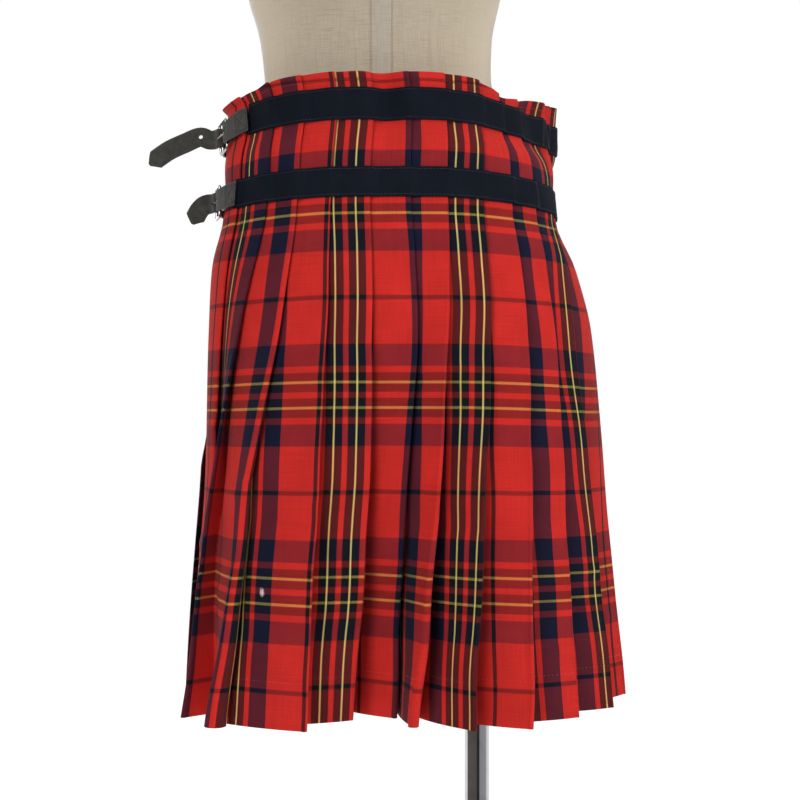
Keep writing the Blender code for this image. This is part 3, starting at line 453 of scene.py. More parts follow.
def through(places, values, place):
    """A smooth value between the listed ones, without overshoot. Places fall from the first."""
    if place >= places[0]:
        return values[0]
    if place <= places[-1]:
        return values[-1]
    slopes = [(b - a) / (q - p) for p, q, a, b in zip(places, places[1:], values, values[1:])]
    tangents = [slopes[0]]
    for before, after in zip(slopes, slopes[1:]):
        same_way = before * after > 0
        tangents.append(2 * before * after / (before + after) if same_way else 0.0)
    tangents.append(slopes[-1])
    index = max(i for i in range(len(places) - 1) if places[i] >= place)
    span = places[index + 1] - places[index]
    t = (place - places[index]) / span
    start = (1 + 2 * t) * (1 - t) ** 2 * values[index] + t * (1 - t) ** 2 * span * tangents[index]
    end = (t * t * (3 - 2 * t) * values[index + 1]
           + t * t * (t - 1) * span * tangents[index + 1])
    return start + end


@lru_cache(maxsize=None)
def level_value(column, z):
    return through(LEVEL_HEIGHTS, [getattr(row, column) for row in LEVELS], z)


def superellipse(bearing, half_width, half_depth, squareness):
    turn = math.radians(bearing)
    across = abs(math.sin(turn)) / half_width
    deep = abs(math.cos(turn)) / half_depth
    return (across ** squareness + deep ** squareness) ** (-1 / squareness)


@lru_cache(maxsize=None)
def creases_at(z):
    """The creases that reach a height, with their leans worked out."""
    return [(c.bearing, z - c.z, math.cos(math.radians(c.lean)), math.sin(math.radians(c.lean)),
             c.half_width, c.half_length, c.height)
            for c in CREASES if abs(c.z - z) < CREASE_REACH]


def crease(bearing, z):
    """How far the creases lift the cloth at a place."""
    lift = 0.0
    for middle, up, straight, leaning, half_width, half_length, height in creases_at(z):
        side = (bearing - middle + 180) % 360 - 180
        if abs(side) > CREASE_SPREAD:
            continue
        aside = math.radians(side) * MEAN_RADIUS
        along = up * straight + aside * leaning
        across = aside * straight - up * leaning
        if abs(along) < half_length:
            fade = (1 - (along / half_length) ** 2) ** 2
            lift += height * fade * math.exp(-(across / half_width) ** 2)
    between_bands = (z - LOWER_BAND_Z[1]) / (UPPER_BAND_Z[0] - LOWER_BAND_Z[1])
    if 0 < between_bands < 1:
        lift += PUFF * math.sin(math.pi * between_bands)
    return lift


def smooth_ring(bearing, z):
    """The ring's radius without creases."""
    back = math.cos(math.radians(bearing)) > 0
    half_depth = level_value("half_back" if back else "half_front", z)
    radius = superellipse(bearing, level_value("half_width", z), half_depth,
                          level_value("squareness", z))
    first = DENTS[0].bearing
    dent = eased(DENTS, (bearing - first) % 360 + first)
    return radius - dent * level_value("dent_share", z)


def slant(bearing, z):
    """How much longer a step along the spoke is than the same step square to the ring."""
    rise = smooth_ring(bearing + 1, z) - smooth_ring(bearing - 1, z)
    return math.hypot(1, rise / (math.radians(2) * smooth_ring(bearing, z)))


@lru_cache(maxsize=200000)
def ring_and_slant(bearing, z):
    return smooth_ring(bearing, z) + crease(bearing, z), slant(bearing, z)


def place(bearing, depth, z):
    """The plan point at a bearing, so far inside the ring."""
    ring, slope = ring_and_slant(bearing, z)
    radius = ring - depth * slope
    turn = math.radians(bearing)
    return Vector((level_value("centre_x", z) + radius * math.sin(turn), -radius * math.cos(turn)))


def bearing_of(point, z):
    return math.degrees(math.atan2(point.x - level_value("centre_x", z), -point.y))


def depth_of(point, z):
    from_centre = Vector((point.x - level_value("centre_x", z), point.y))
    ring, slope = ring_and_slant(bearing_of(point, z), z)
    return (ring - from_centre.length) / slope


def sag(bearing, z):
    """How far a row of the cloth hangs down at a bearing. The hem hangs level."""
    bearing = (bearing + 180) % 360 - 180
    most = RIGHT_SAG if bearing > 0 else LEFT_SAG
    side = ease((abs(bearing) - SAG_FROM) / SAG_OVER)
    hidden = mix(1.0, 0.5 * (RIGHT_SAG + LEFT_SAG) / most, ease((abs(bearing) - 90) / 90))
    return most * side * hidden * (z - HEM_Z) / (TOP_Z - HEM_Z)


def droop(bearing, z):
    """How much further the edge above the upper band hangs down than the rest."""
    share = (z - UPPER_BAND_Z[1]) / (TOP_Z - UPPER_BAND_Z[1])
    return share * eased(TOP_EDGE, bearing) if share > 0 else 0.0


def in_space(point, z):
    """The place in the room of a plan point of a row, sagged and drooped."""
    bearing = bearing_of(point, z)
    return Vector((point.x, point.y, z - sag(bearing, z) - droop(bearing, z)))


def swing(z):
    """How far the pleats have opened: 0 where they are sewn down, 1 at the hem."""
    return max(0.0, (SEAT_Z - z) / (SEAT_Z - HEM_Z)) ** OPENING


def turned(vector, quarter):
    return Vector((-vector.y, vector.x)) * quarter


def between(first, second, shares, z):
    """Plan points between two others, along the ring's own curve."""
    start, end = bearing_of(first, z), bearing_of(second, z)
    if end < start - 180:
        end += 360
    near, far = depth_of(first, z), depth_of(second, z)
    return [place(mix(start, end, share), mix(near, far, share), z) for share in shares]


def fold_points(tip, arriving, leaving, radius, side, steps):
    """A rounded fold of the cloth with its tip at the given plan point."""
    nose = (arriving - leaving).normalized()
    centre = tip - nose * radius
    sideways = turned(nose, side)
    turns = [math.pi * (0.5 - step / (steps - 1)) for step in range(steps)]
    return [centre + radius * (nose * math.cos(t) + sideways * math.sin(t)) for t in turns]


def crest(index, fold, z):
    """The outer fold of a pleat: its tip, its upper leg, the next panel's start and its roll."""
    open_share = swing(z)
    bearing = through(FOLD_HEIGHTS, [fold.top, fold.band, fold.hip, fold.knee, fold.hem], z)
    waver = math.sin(z * (23 + 3 * index) + 2.1 * index) + 0.6 * math.sin(z * 61 + 4.7 * index)
    bearing += math.degrees(WAVER / MEAN_RADIUS) * waver * open_share ** 0.5
    roll = mix(LAYER, fold.hem_roll, open_share)
    depth = -fold.hem_out * open_share
    brow = place(bearing, depth, z)
    tip = place(bearing, depth + roll / 2 * (1 - open_share), z)
    inwards = Vector((-math.sin(math.radians(bearing)), math.cos(math.radians(bearing))))
    turn_from, turn_over = FACING_LEFT if bearing < 0 else FACING_RIGHT
    aside = ease((abs(bearing) - turn_from) / turn_over)
    facing = ease((SEAT_Z - z) / FACING_OVER_Z) * (1 - aside)
    inwards = inwards.lerp(Vector((0, 1)), facing).normalized()
    sewn = place(bearing, depth + LAYER + roll, z)
    opened = brow + inwards * fold.hem_step + turned(inwards, -1) * roll / 2
    return tip, brow, sewn.lerp(opened, open_share), roll


Pleats = namedtuple("Pleats", "line tips starts outside panels")


@lru_cache(maxsize=None)
def pleat_plan(z):
    """The pleated back at one height: its plan line, where its folds are in it, the line of what
    shows, and each visible panel."""
    crests = [crest(index, fold, z) for index, fold in enumerate(FOLDS)]
    left = place(LEFT_SEAM, 2 * LAYER, z)
    right = place(RIGHT_SEAM, 2 * LAYER, z)
    brows = [brow for tip, brow, start, roll in crests] + [right]
    before_starts = [left] + [start for tip, brow, start, roll in crests]
    first_panel = between(left, brows[0], SIDE_SHARES, z)
    line, outside = [left] + first_panel, list(first_panel)
    panels = [first_panel]
    tips, starts = [], []
    for index, (tip, brow, start, roll) in enumerate(crests):
        after = brows[index + 1]
        shown = (after - start).length
        hidden = PLEAT_PITCH - shown
        tuck = max(LEAST_TUCK, (hidden - (brow - start).length) / 2)
        radius = (start - Vector((level_value("centre_x", z), 0))).length
        before, here = bearing_of(before_starts[index], z), bearing_of(brow, z)
        root_bearing = max(bearing_of(start, z) - math.degrees(tuck / radius),
                           mix(here, before, through(TUCK_HEIGHTS, (WAIST_TUCK, HIP_TUCK), z)))
        share = (root_bearing - before) / (here - before)
        near, far = depth_of(before_starts[index], z), depth_of(brow, z)
        panel_rise = (near - far) / (brow - before_starts[index]).length
        slope = (depth_of(start, z) - depth_of(after, z)) / shown
        tuck = radius * math.radians(bearing_of(start, z) - root_bearing)
        lower_leg = max(depth_of(start, z) + slope * tuck * swing(z),
                        mix(near, far, share) + 2 * LAYER * math.hypot(1, STEEP_ROOM * panel_rise))
        loop = mix(LAYER, HEM_LOOP, swing(z))
        root = place(root_bearing, lower_leg - loop / 2 * (1 - swing(z)), z)
        halfway = between(tip, root, (0.5,), z)[0]
        arriving, leaving = (brow - line[-1]).normalized(), (halfway - tip).normalized()
        folded = fold_points(tip, arriving, leaving, roll / 2, -1, FOLD_STEPS)
        beyond = between(root, start, (0.7,), z)[0]
        rooted = fold_points(root, (root - halfway).normalized(), (beyond - root).normalized(),
                             loop / 2, 1, ROOT_STEPS)
        returning = between(folded[-1], rooted[0], RETURN_SHARES, z)
        inner_leg = between(rooted[-1], start, HIDDEN_SHARES, z)
        shares = SIDE_SHARES if index == len(crests) - 1 else PANEL_SHARES
        panel = between(start, after, shares, z)
        low = between(start, after, (min(0.4, LOW_POINT / shown),), z)
        tips.append(len(line) + FOLD_STEPS // 2)
        line += folded + returning + rooted + inner_leg + [start]
        starts.append(len(line) - 1)
        line += panel
        panels.append([start] + panel)
        kept = [p for p, share in zip(panel, shares) if share * shown > LOW_POINT + 0.002]
        outside += [folded[0], brow] + low + kept
    line.append(right)
    outside.append(right)
    panels[-1].append(right)
    return Pleats(line, tips, starts, outside, panels)


@lru_cache(maxsize=None)
def over_apron_plan(z):
    """The outer apron at one height, from the seam at the right to its free edge."""
    start = RIGHT_SEAM + math.degrees(SEAM_GAP / smooth_ring(RIGHT_SEAM, z))
    end = through(FOLD_HEIGHTS, FREE_EDGE, z)
    opened = (FREE_EDGE_OUT * swing(z)
              + FREE_EDGE_LIFT * ease((FREE_EDGE_LIFT_Z - z) / FREE_EDGE_LIFT_OVER))
    line = []
    for column in range(APRON_COLUMNS):
        share = column / (APRON_COLUMNS - 1)
        bearing = mix(start, end, share)
        depth = 2 * LAYER * (1 - ease((bearing - start) / LAP_OVER))
        wave = APRON_WAVE * math.sin(math.radians((bearing - start) * APRON_WAVES)) * swing(z)
        flare = opened * ease((bearing - end + FLARE_OVER) / FLARE_OVER)
        line.append(place(bearing, depth - wave * ease(share * 4) - flare, z))
    return line


@lru_cache(maxsize=None)
def under_apron_plan(z):
    """The inner apron at one height, two layers further in, up to the seam at the left."""
    end = LEFT_SEAM + 360 - math.degrees(SEAM_GAP / smooth_ring(LEFT_SEAM, z))
    line = []
    for column in range(APRON_COLUMNS):
        share = column / (APRON_COLUMNS - 1)
        bearing = mix(UNDER_APRON_START, end, share)
        near_seam = ease((bearing - end + TUCK_UNDER_OVER) / TUCK_UNDER_OVER)
        wave = math.sin(math.radians((bearing - RIGHT_SEAM) * APRON_WAVES))
        wave = APRON_WAVE * wave * swing(z)
        clear = 1 - ease((bearing - end + CLEAR_OVER) / CLEAR_OVER)
        depth = 4 * LAYER - 2 * LAYER * near_seam + 2 * APRON_WAVE * swing(z) * clear
        line.append(place(bearing, depth - wave * ease((1 - share) * 4), z))
    return line


def moved_out(line, distance):
    """The plan line moved to its right, which is outwards for growing bearings."""
    moved = []
    for index, point in enumerate(line):
        before = point - line[max(index - 1, 0)]
        after = line[min(index + 1, len(line) - 1)] - point
        before = before if before.length else after
        after = after if after.length else before
        one, two = turned(before.normalized(), -1), turned(after.normalized(), -1)
        moved.append(point + (one + two) * distance / max(0.6, 1 + one.dot(two)))
    return moved


def lengths_along(line):
    """The distance from the line's first point to each of its points."""
    total, lengths = 0.0, [0.0]
    for one, two in zip(line, line[1:]):
        total += (two - one).length
        lengths.append(total)
    return lengths


def pleat_across(z, unit):
    """The tartan's coordinate of each point of the pleated back: exact on each visible panel,
    counted back from its fold, with the hidden part of the pleat taking up the rest."""
    plan = pleat_plan(z)
    lengths = lengths_along(plan.line)
    marks = [fold.repeat * unit for fold in FOLDS] + [SIDE_REPEAT * unit]
    ends = plan.tips + [len(plan.line) - 1]
    begins = [0] + plan.starts
    across = [0.0] * len(plan.line)
    for begin, end, mark in zip(begins, ends, marks):
        for index in range(begin, end + 1):
            across[index] = mark - (lengths[end] - lengths[index])
    for tip, start, mark in zip(plan.tips, plan.starts, marks):
        span = lengths[start] - lengths[tip]
        for index in range(tip, start):
            share = (lengths[index] - lengths[tip]) / span
            across[index] = mix(mark, across[start], share)
    return across


def put_in_scene(name, mesh, finishes):
    for finish in finishes:
        mesh.materials.append(finish)
    made = bpy.data.objects.new(name, mesh)
    bpy.context.scene.collection.objects.link(made)
    return made


def build(name, vertices, faces, uvs, finishes, picks=None):
    """A mesh object with a smooth finish. uvs holds one pair for each vertex."""
    mesh = bpy.data.meshes.new(name)
    mesh.from_pydata([tuple(v) for v in vertices], [], faces)
    layer = mesh.uv_layers.new(name="surface")
    for loop in mesh.loops:
        layer.data[loop.index].uv = uvs[loop.vertex_index]
    mesh.shade_smooth()
    mesh.set_sharp_from_angle(angle=SMOOTH_ANGLE)
    made = put_in_scene(name, mesh, finishes)
    if picks:
        for polygon, pick in zip(mesh.polygons, picks):
            polygon.material_index = pick
    return made


def wall(name, lines, heights, across, ups, inner, outer, finish):
    """A closed wall through plan lines, from one distance outside them to another."""
    columns = len(lines[0])
    vertices, uvs = [], []
    for line, z, row_across, up in zip(lines, heights, across, ups):
        for side in (inner, outer):
            vertices += [in_space(p, z) for p in moved_out(line, side)]
            uvs += [(a, up) for a in row_across]

    def at(row, side, column):
        return (row * 2 + side) * columns + column

    faces = []
    last_row, last = len(lines) - 1, columns - 1
    for row in range(last_row):
        for column in range(last):
            corners = (at(row, 1, column), at(row + 1, 1, column),
                       at(row + 1, 1, column + 1), at(row, 1, column + 1))
            faces += [corners, tuple(c - columns for c in reversed(corners))]
        faces.append((at(row, 0, 0), at(row + 1, 0, 0), at(row + 1, 1, 0), at(row, 1, 0)))
        faces.append((at(row, 1, last), at(row + 1, 1, last),
                      at(row + 1, 0, last), at(row, 0, last)))
    for column in range(last):
        faces.append((at(0, 0, column), at(0, 1, column),
                      at(0, 1, column + 1), at(0, 0, column + 1)))
        faces.append((at(last_row, 0, column + 1), at(last_row, 1, column + 1),
                      at(last_row, 1, column), at(last_row, 0, column)))
    return build(name, vertices, faces, uvs, [finish])


def cloth_rows():
    """Heights of the cloth's rows, with one at the edge between sewn and open pleats."""
    sewn = [mix(TOP_Z, SEAT_Z, step / SEWN_ROWS) for step in range(SEWN_ROWS)]
    return sewn + [mix(SEAT_Z, HEM_Z, step / OPEN_ROWS) for step in range(OPEN_ROWS + 1)]


def clipped(line, z, start, end):
    """The part of an outside line between two bearings."""
    bearings = [bearing_of(p, z) for p in line]
    bearings = [b + 360 if i > len(line) / 2 and b < 0 else b for i, b in enumerate(bearings)]
    kept = []
    pairs = list(zip(line, bearings))
    for (first, one), (second, two) in zip(pairs, pairs[1:]):
        if one <= start < two:
            kept.append(first.lerp(second, (start - one) / (two - one)))
        if start < one < end:
            kept.append(first)
        if one < end <= two:
            kept.append(first.lerp(second, (end - one) / (two - one)))
    return kept


def evenly(line, count):
    """The line with the given number of evenly spaced points."""
    lengths = lengths_along(line)
    points, index = [], 0
    for step in range(count):
        target = lengths[-1] * step / (count - 1)
        while index < len(line) - 2 and lengths[index + 1] < target:
            index += 1
        span = lengths[index + 1] - lengths[index]
        points.append(line[index].lerp(line[index + 1], (target - lengths[index]) / span))
    return points


def outside_line(z, start, end):
    """The plan line of the cloth that shows, pleats and outer apron, between two bearings."""
    return clipped(pleat_plan(z).outside + over_apron_plan(z)[1:], z, start, end)


def dress(piece, nodes):
    """Puts a finished piece on the body, in place of the solids that it stands for."""
    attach(piece, BODY)
    if nodes:
        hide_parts(*nodes)
    return piece


# Materials

class Value:
    """What a node gives. What is worked out from it is made by nodes of the same tree."""

    def __init__(self, socket):
        self.socket = socket

    def part(self, key):
        """Another output of the same node."""
        return Value(self.socket.node.outputs[key])

    def maths(self, operation, *others, **settings):
        return add(self.socket.id_data, "ShaderNodeMath", dict(enumerate((self, *others))),
                   operation=operation, **settings)

    def __add__(self, other):
        return self.maths("ADD", other)

    def __sub__(self, other):
        return self.maths("SUBTRACT", other)

    def __mul__(self, other):
        return self.maths("MULTIPLY", other)

    def __truediv__(self, other):
        return self.maths("DIVIDE", other)

    def parts(self):
        """The three parts of a vector."""
        x = add(self.socket.id_data, "ShaderNodeSeparateXYZ", {0: self})
        return x, x.part(1), x.part(2)

    def scaled(self, across, up, deep=1.0):
        return add(self.socket.id_data, "ShaderNodeVectorMath", {0: self, 1: (across, up, deep)},
                   operation="MULTIPLY")

    def noise(self, scale, detail=2.0, roughness=0.5):
        return add(self.socket.id_data, "ShaderNodeTexNoise", {
            "Vector": self, "Scale": scale, "Detail": detail, "Roughness": roughness}, "Fac")

    def ramp(self, stops, interpolation="LINEAR"):
        given = add(self.socket.id_data, "ShaderNodeValToRGB", {"Fac": self}, "Color")
        stop_list = given.socket.node.color_ramp
        stop_list.interpolation = interpolation
        while len(stop_list.elements) > 1:
            stop_list.elements.remove(stop_list.elements[-1])
        stop_list.elements[0].position, stop_list.elements[0].color = stops[0]
        for position, colour in stops[1:]:
            stop_list.elements.new(position).color = colour
        return given

    def blended(self, how, factor, other):
        """This colour with a share of another laid over it."""
        return add(self.socket.id_data, "ShaderNodeMix", {0: factor, 6: self, 7: other}, 2,
                   data_type="RGBA", blend_type=how)

    def bump(self, distance, strength, normal=None):
        inputs = {"Height": self, "Distance": distance, "Strength": strength}
        if normal is not None:
            inputs["Normal"] = normal
        return add(self.socket.id_data, "ShaderNodeBump", inputs)


def add(tree, kind, inputs=None, output=0, **settings):
    """What a new node gives. Its inputs are either set or linked."""
    made = tree.nodes.new(kind)
    for name, value in settings.items():
        setattr(made, name, value)
    for key, value in (inputs or {}).items():
        if isinstance(value, Value):
            tree.links.new(value.socket, made.inputs[key])
        else:
            made.inputs[key].default_value = value
    return Value(made.outputs[output])


def grey(value):
    return (value, value, value, 1)


def tinted(colour, times=1.0):
    """An opaque colour, made so many times as bright."""
    return (*(min(1, times * value) for value in colour), 1)


def new_material(name, **constants):
    """A material with its shader's plain values set on the shader's own sockets."""
    made = bpy.data.materials.new(name)
    made.use_nodes = True
    shader = made.node_tree.nodes["Principled BSDF"]
    for key, value in constants.items():
        shader.inputs[key.replace("_", " ")].default_value = value
    return made, made.node_tree


def covered(made, colour, normal=None, gloss=None):
    """The material with what its nodes worked out linked to its shader."""
    tree = made.node_tree
    shader = tree.nodes["Principled BSDF"]
    for key, value in (("Base Color", colour), ("Normal", normal), ("Roughness", gloss)):
        if value is not None:
            tree.links.new(value.socket, shader.inputs[key])
    return made


def on_surface(tree):
    """The piece's own map, in metres."""
    return add(tree, "ShaderNodeUVMap", uv_map="surface")


def in_room(tree):
    """The place in the shared frame, in metres."""
    return add(tree, "ShaderNodeTexCoord", output="Object")


def either(share, one, two):
    """One shader, with a share of another laid over it."""
    return add(share.socket.id_data, "ShaderNodeMixShader", {0: share, 1: one, 2: two})


def shining(tree, kind, colour, strength):
    return add(tree, "ShaderNode" + kind, {"Color": colour, "Strength": strength})


def tartan_material(settings):
    made, tree = new_material("tartan_wool", Roughness=0.85, Sheen_Weight=0.05,
                              Sheen_Roughness=0.5, Specular_IOR_Level=0.14)
    vector = on_surface(tree)
    across, up, _ = vector.parts()
    half = REPEAT_UNITS / 2

    def stripes(place_in_metres, repeat, starts, yellow):
        """The stripes' colours, kept as they look so that they mix as they look. The yellow
        threads are thicker and cover what crosses them."""
        share = (place_in_metres * (REPEAT_UNITS / repeat)).maths("PINGPONG", half) / half
        stops = []
        for stripe in STRIPES:
            bright = stripe.colour == "yellow"
            colour = yellow if bright else getattr(settings, stripe.colour)
            shown = [value ** (1 / GAMMA) for value in colour]
            stops.append((getattr(stripe, starts) / half, (*shown, COVER if bright else 0.0)))
        return share.ramp(stops, "CONSTANT")

    warp = stripes(across, settings.repeat_across, "upright_start", settings.upright_yellow)
    weft = stripes(up - DARK_LINE_ABOVE_HEM, settings.repeat_up, "start", settings.yellow)
    # Two over, two under: the warp shows on half of the crossings, in slanting lines
    step = ((across + up) * (0.25 / settings.thread)).maths("FRACT")
    woven = step.maths("LESS_THAN", 0.5).maths("MULTIPLY_ADD", WARP_ON_TOP, WARP_BENEATH)
    woven = weft.part("Alpha").maths("MULTIPLY_ADD", -0.5, woven)
    warp_share = woven.maths("ADD", warp.part("Alpha"), use_clamp=True)
    colour = weft.blended("MIX", warp_share, warp)
    colour = add(tree, "ShaderNodeGamma", {"Color": colour, "Gamma": GAMMA})
    # Uneven dyeing of single threads, and softer clouds over a hand's width
    threads = (vector.scaled(1 / settings.thread, 30).noise(0.7)
               + vector.scaled(30, 1 / settings.thread).noise(0.7))
    tone = threads * 0.55 + vector.noise(26, 3.0) * 0.50
    uneven = add(tree, "ShaderNodeCombineColor", {0: tone, 1: tone, 2: tone})
    colour = colour.blended("MULTIPLY", 0.75, uneven)
    # Pale fibres that catch on the wool
    flecks = vector.noise(2600).maths("GREATER_THAN", 0.72) * 0.07
    colour = colour.blended("MIX", flecks, (0.55, 0.40, 0.42, 1))
    # The one worn spot at the back
    where = in_room(tree)
    away = add(tree, "ShaderNodeVectorMath", {0: where, 1: WORN_SPOT}, operation="SUBTRACT")
    radius = add(tree, "ShaderNodeVectorMath", {0: away.scaled(1.6, 0.10)}, "Value",
                 operation="LENGTH")
    ragged = (vector.noise(700) - 0.5) * 0.0060
    worn = ((radius + ragged) / WORN_SIZE).ramp([(0.0, grey(1)), (0.34, grey(0.75)),
                                                 (0.55, grey(0))])
    colour = colour.blended("MIX", worn, (0.80, 0.70, 0.70, 1))
    # Painted shade: the colour is darkened along the groove that the top edge's stitches pull. The
    # small puckers above it are bumps
    above = where.parts()[2] - (TOP_Z - settings.edge_stitch)
    painted_groove_shade = (above.maths("ABSOLUTE") * 250).ramp([(0.12, (0.42, 0.40, 0.40, 1)),
                                                   (0.55, grey(1))])
    colour = colour.blended("MULTIPLY", 1.0, painted_groove_shade)
    fading = (above * 100).ramp([(0.0, grey(1)), (0.02, grey(1)), (0.75, grey(0))])
    inside = above.maths("GREATER_THAN", -0.0015)
    gathers = vector.scaled(210, 25).noise(1.0, 1.0) * inside * fading
    # Twill ridges, threads, and the soft rumpling of a worn cloth
    rumple = vector.scaled(22, 60).noise(1.0, 3.0, 0.55)
    soft = gathers.maths("MULTIPLY_ADD", 1.6, rumple).bump(0.0016, 0.35)
    rough = step.maths("PINGPONG", 0.5) + threads * 0.35
    return covered(made, colour, rough.bump(0.00016, 0.55, soft))


def webbing_material(settings):
    made, tree = new_material("black_webbing", Roughness=0.75, Sheen_Weight=0.01,
                              Sheen_Roughness=0.4, Specular_IOR_Level=0.10)
    vector = on_surface(tree)
    along, across, _ = vector.parts()
    rib = (along * (1 / 0.0009)).maths("PINGPONG", 0.5)
    thread = (across * (1 / 0.0005)).maths("PINGPONG", 0.5)
    tone = vector.noise(1500, 3.0, 0.7) * 0.9 + vector.noise(35) * 0.6 + rib * 0.5
    dark = settings.webbing
    colour = (tone * 0.7).ramp([(0.30, tinted(dark)), (0.62, tinted(dark, 1.3)),
                                (0.86, tinted(dark, 2.6))])
    slack = vector.scaled(40, 90).noise(1.0).bump(0.0012, 0.30)
    return covered(made, colour, (rib + thread * 0.6).bump(0.00022, 0.6, slack))


def leather_material(settings):
    made, tree = new_material("black_leather", Roughness=0.46, Specular_IOR_Level=0.35,
                              Coat_Weight=0.85, Coat_Roughness=0.14)
    vector = on_surface(tree)
    cells = add(tree, "ShaderNodeTexVoronoi", {"Vector": vector, "Scale": 1400}, "Distance",
                feature="DISTANCE_TO_EDGE")
    grain = cells.ramp([(0.0, grey(0)), (0.16, grey(1))])
    dark = settings.leather
    colour = vector.noise(300, 3.0).ramp([(0.40, tinted(dark)), (0.78, tinted(dark, 3.0))])
    creased = vector.scaled(90, 260).noise(1.0, 3.0, 0.6).bump(0.0005, 0.45)
    return covered(made, colour, grain.bump(0.00010, 0.5, creased))


def suede_material(settings):
    made, tree = new_material("leather_back", Roughness=0.92, Specular_IOR_Level=0.15,
                              Sheen_Weight=0.2, Sheen_Roughness=0.6)
    vector = on_surface(tree)
    nap = vector.scaled(500, 1400).noise(1.0, 4.0, 0.7)
    brown = settings.suede
    colour = (nap * 0.6 + vector.noise(160, 3.0) * 0.5).ramp([
        (0.36, tinted(brown, 0.55)), (0.54, tinted(brown)), (0.74, tinted(brown, 1.5))])
    return covered(made, colour, nap.bump(0.00025, 0.6))


def metal_material(name, colour, low, high, scratches):
    """Plated or chromed steel with fine wear in its gloss."""
    made, tree = new_material(name, Metallic=1.0)
    where = in_room(tree)
    streaks = where.scaled(*scratches).noise(1.0, 3.0, 0.6)
    smear = where.noise(45)
    gloss = add(tree, "ShaderNodeMapRange", {"Value": streaks * smear, "From Min": 0.12,
                                             "From Max": 0.42, "To Min": low, "To Max": high})
    shade = smear.ramp([(0.35, tinted(colour, 0.82)), (0.60, tinted(colour))])
    return covered(made, shade, streaks.bump(0.00004, 0.25), gloss)


def painted_material():
    made, tree = new_material("painted_steel", Roughness=0.38, Specular_IOR_Level=0.5)
    where = in_room(tree)
    scuffs = where.scaled(18, 90, 40).noise(1.0, 4.0, 0.65)
    colour = scuffs.ramp([(0.30, grey(0.50)), (0.62, grey(0.60)), (0.80, (0.68, 0.68, 0.67, 1))])
    return covered(made, colour, where.noise(420).bump(0.00020, 0.25))


def linen_material(name, base, slub, contrast):
    """Plain woven linen: threads of uneven thickness both ways, a few dark slubs, and a painted
    pale rim where it turns away from view.
    """
    made, tree = new_material(name, Roughness=0.9, Specular_IOR_Level=0.2, Sheen_Weight=0.9,
                              Sheen_Roughness=0.35)
    vector = on_surface(tree)
    threads = (vector.scaled(45, 1500).noise(1.0, 2.0, 0.6)
               + vector.scaled(1500, 45).noise(1.0, 2.0, 0.6)) * 0.5
    slubs = vector.scaled(22, 620).noise(1.0, 1.0).maths(
        "MAXIMUM", vector.scaled(620, 9).noise(1.0, 1.0))
    shade = threads.ramp([(0.34, tinted(base, 0.78)), (0.52, tinted(base)),
                          (0.68, tinted(base, 1.14))])
    dark = slubs.ramp([(0.60, grey(0)), (0.72, grey(1))])
    shade = shade.blended("MIX", dark * contrast, tinted(slub))
    stains = vector.noise(7, 3.0).ramp([(0.30, (0.93, 0.92, 0.90, 1)), (0.60, grey(1))])
    shade = shade.blended("MULTIPLY", 1.0, stains)
    # Painted highlight: the colour turns paler where the cover turns away from view, standing in
    # for the light that catches its edges
    painted_rim_highlight = add(tree, "ShaderNodeLayerWeight", {"Blend": 0.45}, "Facing")
    shade = shade.blended("MIX", painted_rim_highlight * 0.90, tinted(base, 2.3))
    return covered(made, shade, threads.bump(0.0004, 0.6))


def thread_material(name, colour, pale):
    made, tree = new_material(name, Roughness=0.7, Sheen_Weight=0.2)
    twist = in_room(tree).noise(1500)
    shade = twist.ramp([(0.35, tinted(colour)), (0.70, tinted(pale))])
    return covered(made, shade, twist.bump(0.0001, 0.5))


def mirrored_room(east, north):
    """The room's darker and brighter sides, as bright metal mirrors them."""
    turn = east.maths("ARCTAN2", north * -1)
    return turn.maths("MULTIPLY_ADD", 0.5 / math.pi, 0.5).ramp(ROOM)


# Ribbons, wires and turned pieces

def curve_between(before, one, two, after, t):
    """A point on a smooth curve through one and two that doesn't overshoot uneven steps."""
    first = (one - before).length ** 0.5
    second = first + (two - one).length ** 0.5
    third = second + (after - two).length ** 0.5
    here = mix(first, second, t)
    one_leg = before.lerp(one, here / first)
    middle = one.lerp(two, t)
    last_leg = two.lerp(after, (here - second) / (third - second))
    early = one_leg.lerp(middle, here / second)
    late = middle.lerp(last_leg, (here - first) / (third - first))
    return early.lerp(late, t)


def refined(stations, steps):
    """More stations on smooth curves through the given ones. Widths go straight between them."""
    centres = [station[0] for station in stations]
    centres = [2 * centres[0] - centres[1], *centres, 2 * centres[-1] - centres[-2]]
    fine = []
    for index, (one, two) in enumerate(zip(stations, stations[1:])):
        for step in range(steps):
            t = step / steps
            centre = curve_between(*centres[index:index + 4], t)
            fine.append((centre, one[1].lerp(two[1], ease(t)), mix(one[2], two[2], t)))
    return fine + [stations[-1]]


def ribbon_frames(stations):
    """Each station with its own directions: centre, along, across, normal, width and length."""
    frames, length = [], 0.0
    for index, (centre, across, width) in enumerate(stations):
        before = stations[max(index - 1, 0)][0]
        after = stations[min(index + 1, len(stations) - 1)][0]
        if index:
            length += (centre - before).length
        along = (after - before).normalized()
        across = (across - along * across.dot(along)).normalized()
        frames.append((centre, along, across, along.cross(across), width, length))
    return frames


